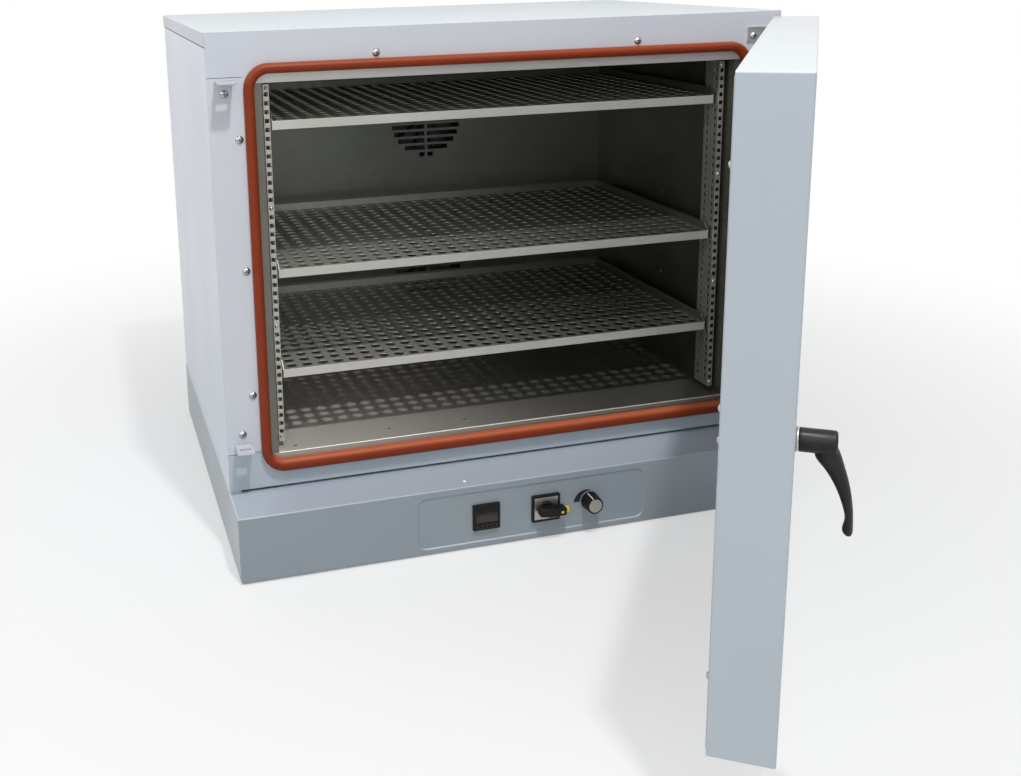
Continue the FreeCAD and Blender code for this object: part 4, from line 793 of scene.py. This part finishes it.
def makeSwitchGrip(look):
    thickness, right = look["discThickness"], look["right"]
    disc = turned(discProfile(look["discRadius"], thickness, look["discRound"], look["discSteps"]),
                  look["discSegments"])
    top = thickness + look["depth"]
    tall, tip = look["middleHeight"] / 2, look["tipHeight"] / 2
    grip = boxMesh((-look["left"], -tall, thickness - look["intoDisc"]), (right, tall, top))
    bmesh.ops.bisect_plane(grip, geom=grip.verts[:] + grip.edges[:] + grip.faces[:], plane_co=(0, 0, 0),
                           plane_no=(1, 0, 0))
    for vertex in grip.verts:
        if abs(vertex.co.x) > slack:
            vertex.co.y *= tip / tall
        if vertex.co.x < -slack and vertex.co.z > top - slack:
            vertex.co.z -= look["slope"]   # the short end slopes back
    corners = [edge for edge in grip.edges if any(abs(vertex.co.x) > slack for vertex in edge.verts)]
    roundEdges(grip, corners, look["round"], look["roundSegments"])
    half, proud, ends = look["ribHalf"], look["ribProud"], look["ribEnds"]
    for side in (-1, 1):
        for index in range(look["ribs"]):
            x = right - look["ribsFromTip"] - index * look["ribPitch"]
            y = (tall - (tall - tip) * x / right) * side
            addTo(grip, boxMesh((x - half, y - proud, thickness + ends), (x + half, y + proud, top - ends),
                                look["ribRound"], 2))
    place = onPanel("switch_plate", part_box("switch_plate")[0].y - clearance)
    disc.transform(place)
    grip.transform(place)
    finishPiece("switchGrip", grip, "blackMoulding", "switch", ["switch_knob"],
                smooth=False)
    finishPiece("switchDisc", disc, "blackMoulding", "switch")


switchMarks = {"fromMiddle": 17.2 * mm, "ringRadius": 1.9 * mm, "halfLine": 0.35 * mm, "barHalf": 1.9 * mm,
               "thickness": 0.12 * mm, "round": 0.04 * mm, "segments": 32}


def makeSwitchMarks(look):
    # a bar for on and a ring for off, printed on the plate
    out, half, thick, bar = look["fromMiddle"], look["halfLine"], look["thickness"], look["barHalf"]
    inside, outside = look["ringRadius"] - half, look["ringRadius"] + half
    marks = turned([(inside, 0), (outside, 0), (outside, thick), (inside, thick), (inside, 0)],
                   look["segments"])
    bmesh.ops.translate(marks, verts=marks.verts[:], vec=(-out, 0, 0))
    addTo(marks, boxMesh((-half, out - bar, 0), (half, out + bar, thick), look["round"]))
    marks.transform(onPanel("switch_plate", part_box("switch_plate")[0].y))
    finishPiece("switchMarks", marks, "scaleInk", "cabinet", smooth=False)


display = {"border": 1.3 * mm, "paneSunk": 0.45 * mm, "paneRound": 0.2 * mm,
           "bezelOut": 2.2 * mm, "bezelIn": 1.0 * mm, "bezelProud": 0.25 * mm, "bezelBack": 0.6 * mm,
           "film": 0.2 * mm, "filmEdge": 1.6 * mm, "filmBack": 0.4 * mm, "filmRound": 0.15 * mm}


def makeDisplay(look):
    # a sunk pane in a raised bezel, and the film round the buttons below it
    low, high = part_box("controller_window")
    pane = boxMesh(low, high, look["paneRound"], 2)
    sinkFront(pane, look["border"], look["paneSunk"])
    finishPiece("displayPane", pane, "displayGlass", "cabinet", ["controller_window"],
                smooth=False)
    out = look["bezelOut"]
    bezel = boxMesh((low.x - out, low.y - look["bezelProud"], low.z - out),
                    (high.x + out, low.y + look["bezelBack"], high.z + out))
    faces = [frontFace(bezel), max(bezel.faces, key=lambda face: face.calc_center_median().y)]
    rims = []
    for face in faces:
        bmesh.ops.inset_region(bezel, faces=[face], thickness=out - look["bezelIn"], depth=0)
        rims += face.edges[:]
    bmesh.ops.delete(bezel, geom=faces, context="FACES_ONLY")
    bmesh.ops.bridge_loops(bezel, edges=rims)
    finishPiece("displayFrame", bezel, "blackMoulding", "cabinet", smooth=False)
    keyLow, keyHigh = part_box("controller_button_1")
    film = boxMesh((low.x, low.y - look["film"], keyLow.z - look["filmEdge"]),
                   (high.x, low.y + look["filmBack"], keyHigh.z + look["filmEdge"]), look["filmRound"], 2)
    finishPiece("keypadFilm", film, "keypadFilm", "cabinet", smooth=False)


buttonCaps = {"round": 0.7 * mm, "border": 0.5 * mm, "dish": 0.35 * mm}


def makeButtons(look):
    for index in range(1, 5):
        node = "controller_button_%d" % index
        cap = boxMesh(*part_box(node), look["round"], 3)
        sinkFront(cap, look["border"], look["dish"])
        finishPiece("buttonCap%d" % index, cap, "buttonCaps", "button_%d" % index, [node])


louvreHood = {
    "halfLength": 48 * mm, "below": 3 * mm, "above": 4.5 * mm, "depth": 5 * mm, "round": 3.4 * mm,
    "intoPanel": 0.2 * mm, "overSlot": 2.4 * mm, "rows": 7, "pitch": 15 * mm,
    "columns": (-43 * mm, 77 * mm), "heights": (353 * mm, 675 * mm),
}


def makeLouvreHoods(look):
    # pressed hoods over the back panel's slots
    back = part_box("back_panel")[1].y
    hoods = bmesh.new()
    for height in look["heights"]:
        for x in look["columns"]:
            for row in range(look["rows"]):
                z = height + (row - (look["rows"] - 1) / 2) * look["pitch"] + look["overSlot"]
                hood = boxMesh((x - look["halfLength"], back - look["intoPanel"], z - look["below"]),
                               (x + look["halfLength"], back + look["depth"], z + look["above"]))
                outer = [edge for edge in hood.edges if any(vertex.co.z > z for vertex in edge.verts)
                         and any(vertex.co.y > back for vertex in edge.verts)]
                roundEdges(hood, outer, look["round"], 3)
                addTo(hoods, hood)
    finishPiece("louvreHoods", hoods, "casingPaint", "cabinet", smooth=False)


floorRivets = {"radius": 3.2 * mm, "height": 1.1 * mm, "sunk": 0.1 * mm, "segments": 24,
               "outline": ((0, 0), (1, 0), (0.9, 0.5), (0.6, 0.85), (0, 1)),   # shares of both
               "places": ((-397 * mm, -290 * mm), (-220 * mm, -268 * mm), (-77 * mm, -272 * mm))}
ledgeScrewGlint = {"radius": 4.3 * mm, "height": 2.1 * mm, "sunk": 0.1 * mm, "segments": 24,
              "outline": [(0, 0)] + arcPoints(0, 0, 1, 0, quarterTurn, 6),
              "places": ((-116 * mm, -385 * mm),)}   # a bright dome over its head, as a painted highlight


def makeHeads(name, finish, node, look):
    # small domed heads on the upper face of a node
    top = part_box(node)[1].z - look["sunk"]
    profile = [(look["radius"] * across, look["height"] * up) for across, up in look["outline"]]
    heads = bmesh.new()
    for x, y in look["places"]:
        head = turned(profile, look["segments"])
        head.transform(Matrix.Translation((x, y, top)))
        addTo(heads, head)
    finishPiece(name, heads, finish, "cabinet")


floorFold = {"height": 1.6 * mm, "depth": 2.0 * mm, "proud": 0.4 * mm, "round": 0.95 * mm}


def makeFloorFold(look):
    # the rolled edge between the chamber's floor and its front flange, coloured bright as a painted highlight
    low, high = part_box("chamber_floor")
    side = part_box("chamber_right")[0].x
    fold = boxMesh((-side, low.y - look["proud"], high.z - look["height"]),
                   (side, low.y + look["depth"], high.z + look["proud"]), look["round"], 4)
    finishPiece("floorFold", fold, "highlightSteel", "cabinet")


seamLinesAndShadows = {"line": 0.9 * mm, "skirtShadow": 2.4 * mm, "underSkirt": 0.1 * mm, "postEdge": 461 * mm,
               "proud": 0.12 * mm, "sunk": 0.3 * mm, "round": 0.04 * mm}


def makeSeamLinesAndShadows(look):
    # dark strips: a painted shadow under the lid's skirt, and dark joints between the sheets of the front frame
    # that also stand for the shade in them
    half, proud, inside = look["line"] / 2, look["proud"], look["sunk"]
    panelLow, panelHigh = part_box("side_panel_left")
    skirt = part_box("top_cover")[0].z
    postLow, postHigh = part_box("front_post_left")
    seams = bmesh.new()
    for side in (-1, 1):
        face = side * -panelLow.x
        inner, outer = sorted((face - side * inside, face + side * proud))
        addTo(seams, boxMesh((inner, panelLow.y, skirt - look["skirtShadow"]),
                             (outer, panelHigh.y, skirt + look["underSkirt"]), look["round"]))
        left, right = sorted((side * -postLow.x, side * look["postEdge"]))
        for height in (postLow.z, postHigh.z):
            addTo(seams, boxMesh((left, postLow.y - proud, height - half),
                                 (right, postLow.y + inside, height + half), look["round"]))
    finishPiece("seamLinesAndShadows", seams, "seamShade", "cabinet", smooth=False)


makeDialKnob(dialKnob)
makeDialPointer(dialPointer)
makeSwitchGrip(switchGrip)
makeSwitchMarks(switchMarks)
makeDisplay(display)
makeButtons(buttonCaps)
makeLouvreHoods(louvreHood)
makeHeads("floorRivets", "screwMetal", "chamber_floor", floorRivets)
# painted highlight: a bright dome over the ledge screw's head
makeHeads("ledgeScrewHighlight", "highlightSteel", "base_shell", ledgeScrewGlint)
makeFloorFold(floorFold)
makeSeamLinesAndShadows(seamLinesAndShadows)
print("controls, louvres, small heads and seams made")


cameraView = {
    "place": (-0.735, -2.197, 1.015), "turn": 15.14, "down": 13.16, "roll": -1.39,
    "focalPixels": 1174, "imageWidth": 1021, "sensor": 36.0, "shift": (0.12, -0.15),
    "near": 0.05, "far": 60.0,
}


def addCamera(view):
    turn, down, roll = [math.radians(view[key]) for key in ("turn", "down", "roll")]
    forward = Vector((math.sin(turn) * math.cos(down), math.cos(turn) * math.cos(down), -math.sin(down)))
    right = Vector((math.cos(turn), -math.sin(turn), 0))
    up = right.cross(forward)
    rolledRight = right * math.cos(roll) + up * math.sin(roll)
    rolledUp = up * math.cos(roll) - right * math.sin(roll)
    data = bpy.data.cameras.new("photoCamera")
    data.sensor_width = view["sensor"]
    data.lens = view["focalPixels"] / view["imageWidth"] * view["sensor"]
    data.shift_x, data.shift_y = view["shift"]
    data.clip_start, data.clip_end = view["near"], view["far"]
    camera = bpy.data.objects.new("photoCamera", data)
    facing = Matrix((rolledRight, rolledUp, -forward)).transposed().to_4x4()
    camera.matrix_world = Matrix.Translation(view["place"]) @ facing
    bpy.context.scene.collection.objects.link(camera)
    bpy.context.scene.camera = camera


lampLooks = {
    "ceilingLamp": {"place": (-0.1, -2.1, 3.86), "aim": (-0.05, -0.26, 0.3), "size": 0.16, "power": 72},
    "ceilingPanel": {"place": (-0.5, -2.5, 3.2), "aim": (0, -0.25, 0.6), "size": 2.2, "power": 22},
    "leftSoftbox": {"place": (-3.1, -0.7, 2.3), "aim": (0, 0, 0.6), "size": 2.0, "power": 24},
    "frontFill": {"place": (-1.9, -3.7, 2.3), "aim": (0, 0, 0.6), "size": 2.2, "power": 15},
    "backFill": {"place": (-2.2, 3.2, 1.8), "aim": (0, 0, 0.4), "size": 2.2, "power": 22},
}


def addLamp(name, look):
    data = bpy.data.lights.new(name, "AREA")
    data.shape = "SQUARE"
    data.size = look["size"]
    data.energy = look["power"]
    lamp = bpy.data.objects.new(name, data)
    facing = (Vector(look["aim"]) - Vector(look["place"])).to_track_quat("-Z", "Y").to_matrix().to_4x4()
    lamp.matrix_world = Matrix.Translation(look["place"]) @ facing
    bpy.context.scene.collection.objects.link(lamp)


room = {"white": (1.0, 1.0, 1.0), "softLight": (0.93, 0.96, 1.0), "softStrength": 0.33,
        "floorColour": (0.82, 0.82, 0.82), "floorRoughness": 0.7, "floorSize": 14.0,
        "fadeFrom": 0.5, "fadeTo": 2.2, "fadeLowest": 0.45}


def seenDirectly(shading):
    # 1 for what the camera sees, also in metal and through glass
    rays = [shading.add("ShaderNodeLightPath", output=ray)
            for ray in ("Is Camera Ray", "Is Glossy Ray", "Is Transmission Ray")]
    return (rays[0] + rays[1] + rays[2]).clamped()


def addSurround(look):
    # soft light from all round, and white where it is seen
    world = bpy.data.worlds.new("whiteRoom")
    bpy.context.scene.world = world
    world.use_nodes = True
    sky = Shading(world.node_tree)
    soft = sky.add("ShaderNodeBackground", {},
                   {"Color": look["softLight"], "Strength": look["softStrength"]})
    white = sky.add("ShaderNodeBackground", {}, {"Color": look["white"], "Strength": 1.0})
    both = sky.add("ShaderNodeMixShader", {}, {0: seenDirectly(sky), 1: soft, 2: white})
    sky.put(sky.tree.nodes.new("ShaderNodeOutputWorld").inputs[0], both)


def addFloor(look):
    # a pale floor that fades into the white surround
    mesh = bmesh.new()
    bmesh.ops.create_grid(mesh, x_segments=1, y_segments=1, size=look["floorSize"])
    data = bpy.data.meshes.new("paleFloor")
    mesh.to_mesh(data)
    mesh.free()
    floor = Finish("paleFloor", Base_Color=look["floorColour"], Roughness=look["floorRoughness"])
    away = floor.add("ShaderNodeVectorMath", {"operation": "LENGTH"}, {0: floor.place()}, "Value")
    fade = floor.spread(away, look["fadeFrom"], look["fadeTo"], look["fadeLowest"]) * seenDirectly(floor)
    glow = floor.add("ShaderNodeEmission", {}, {"Color": look["white"], "Strength": 1.0})
    shaded = Wire(floor, floor.shader.outputs[0])
    floor.put(floor.output.inputs[0], floor.add("ShaderNodeMixShader", {}, {0: fade, 1: shaded, 2: glow}))
    data.materials.append(floor.material)
    plane = bpy.data.objects.new("paleFloor", data)
    bpy.context.scene.collection.objects.link(plane)


addCamera(cameraView)
for lampName, lampLook in lampLooks.items():
    addLamp(lampName, lampLook)
addSurround(room)
addFloor(room)
bpy.context.scene.view_settings.view_transform = "Standard"
print("camera, lamps and room placed")
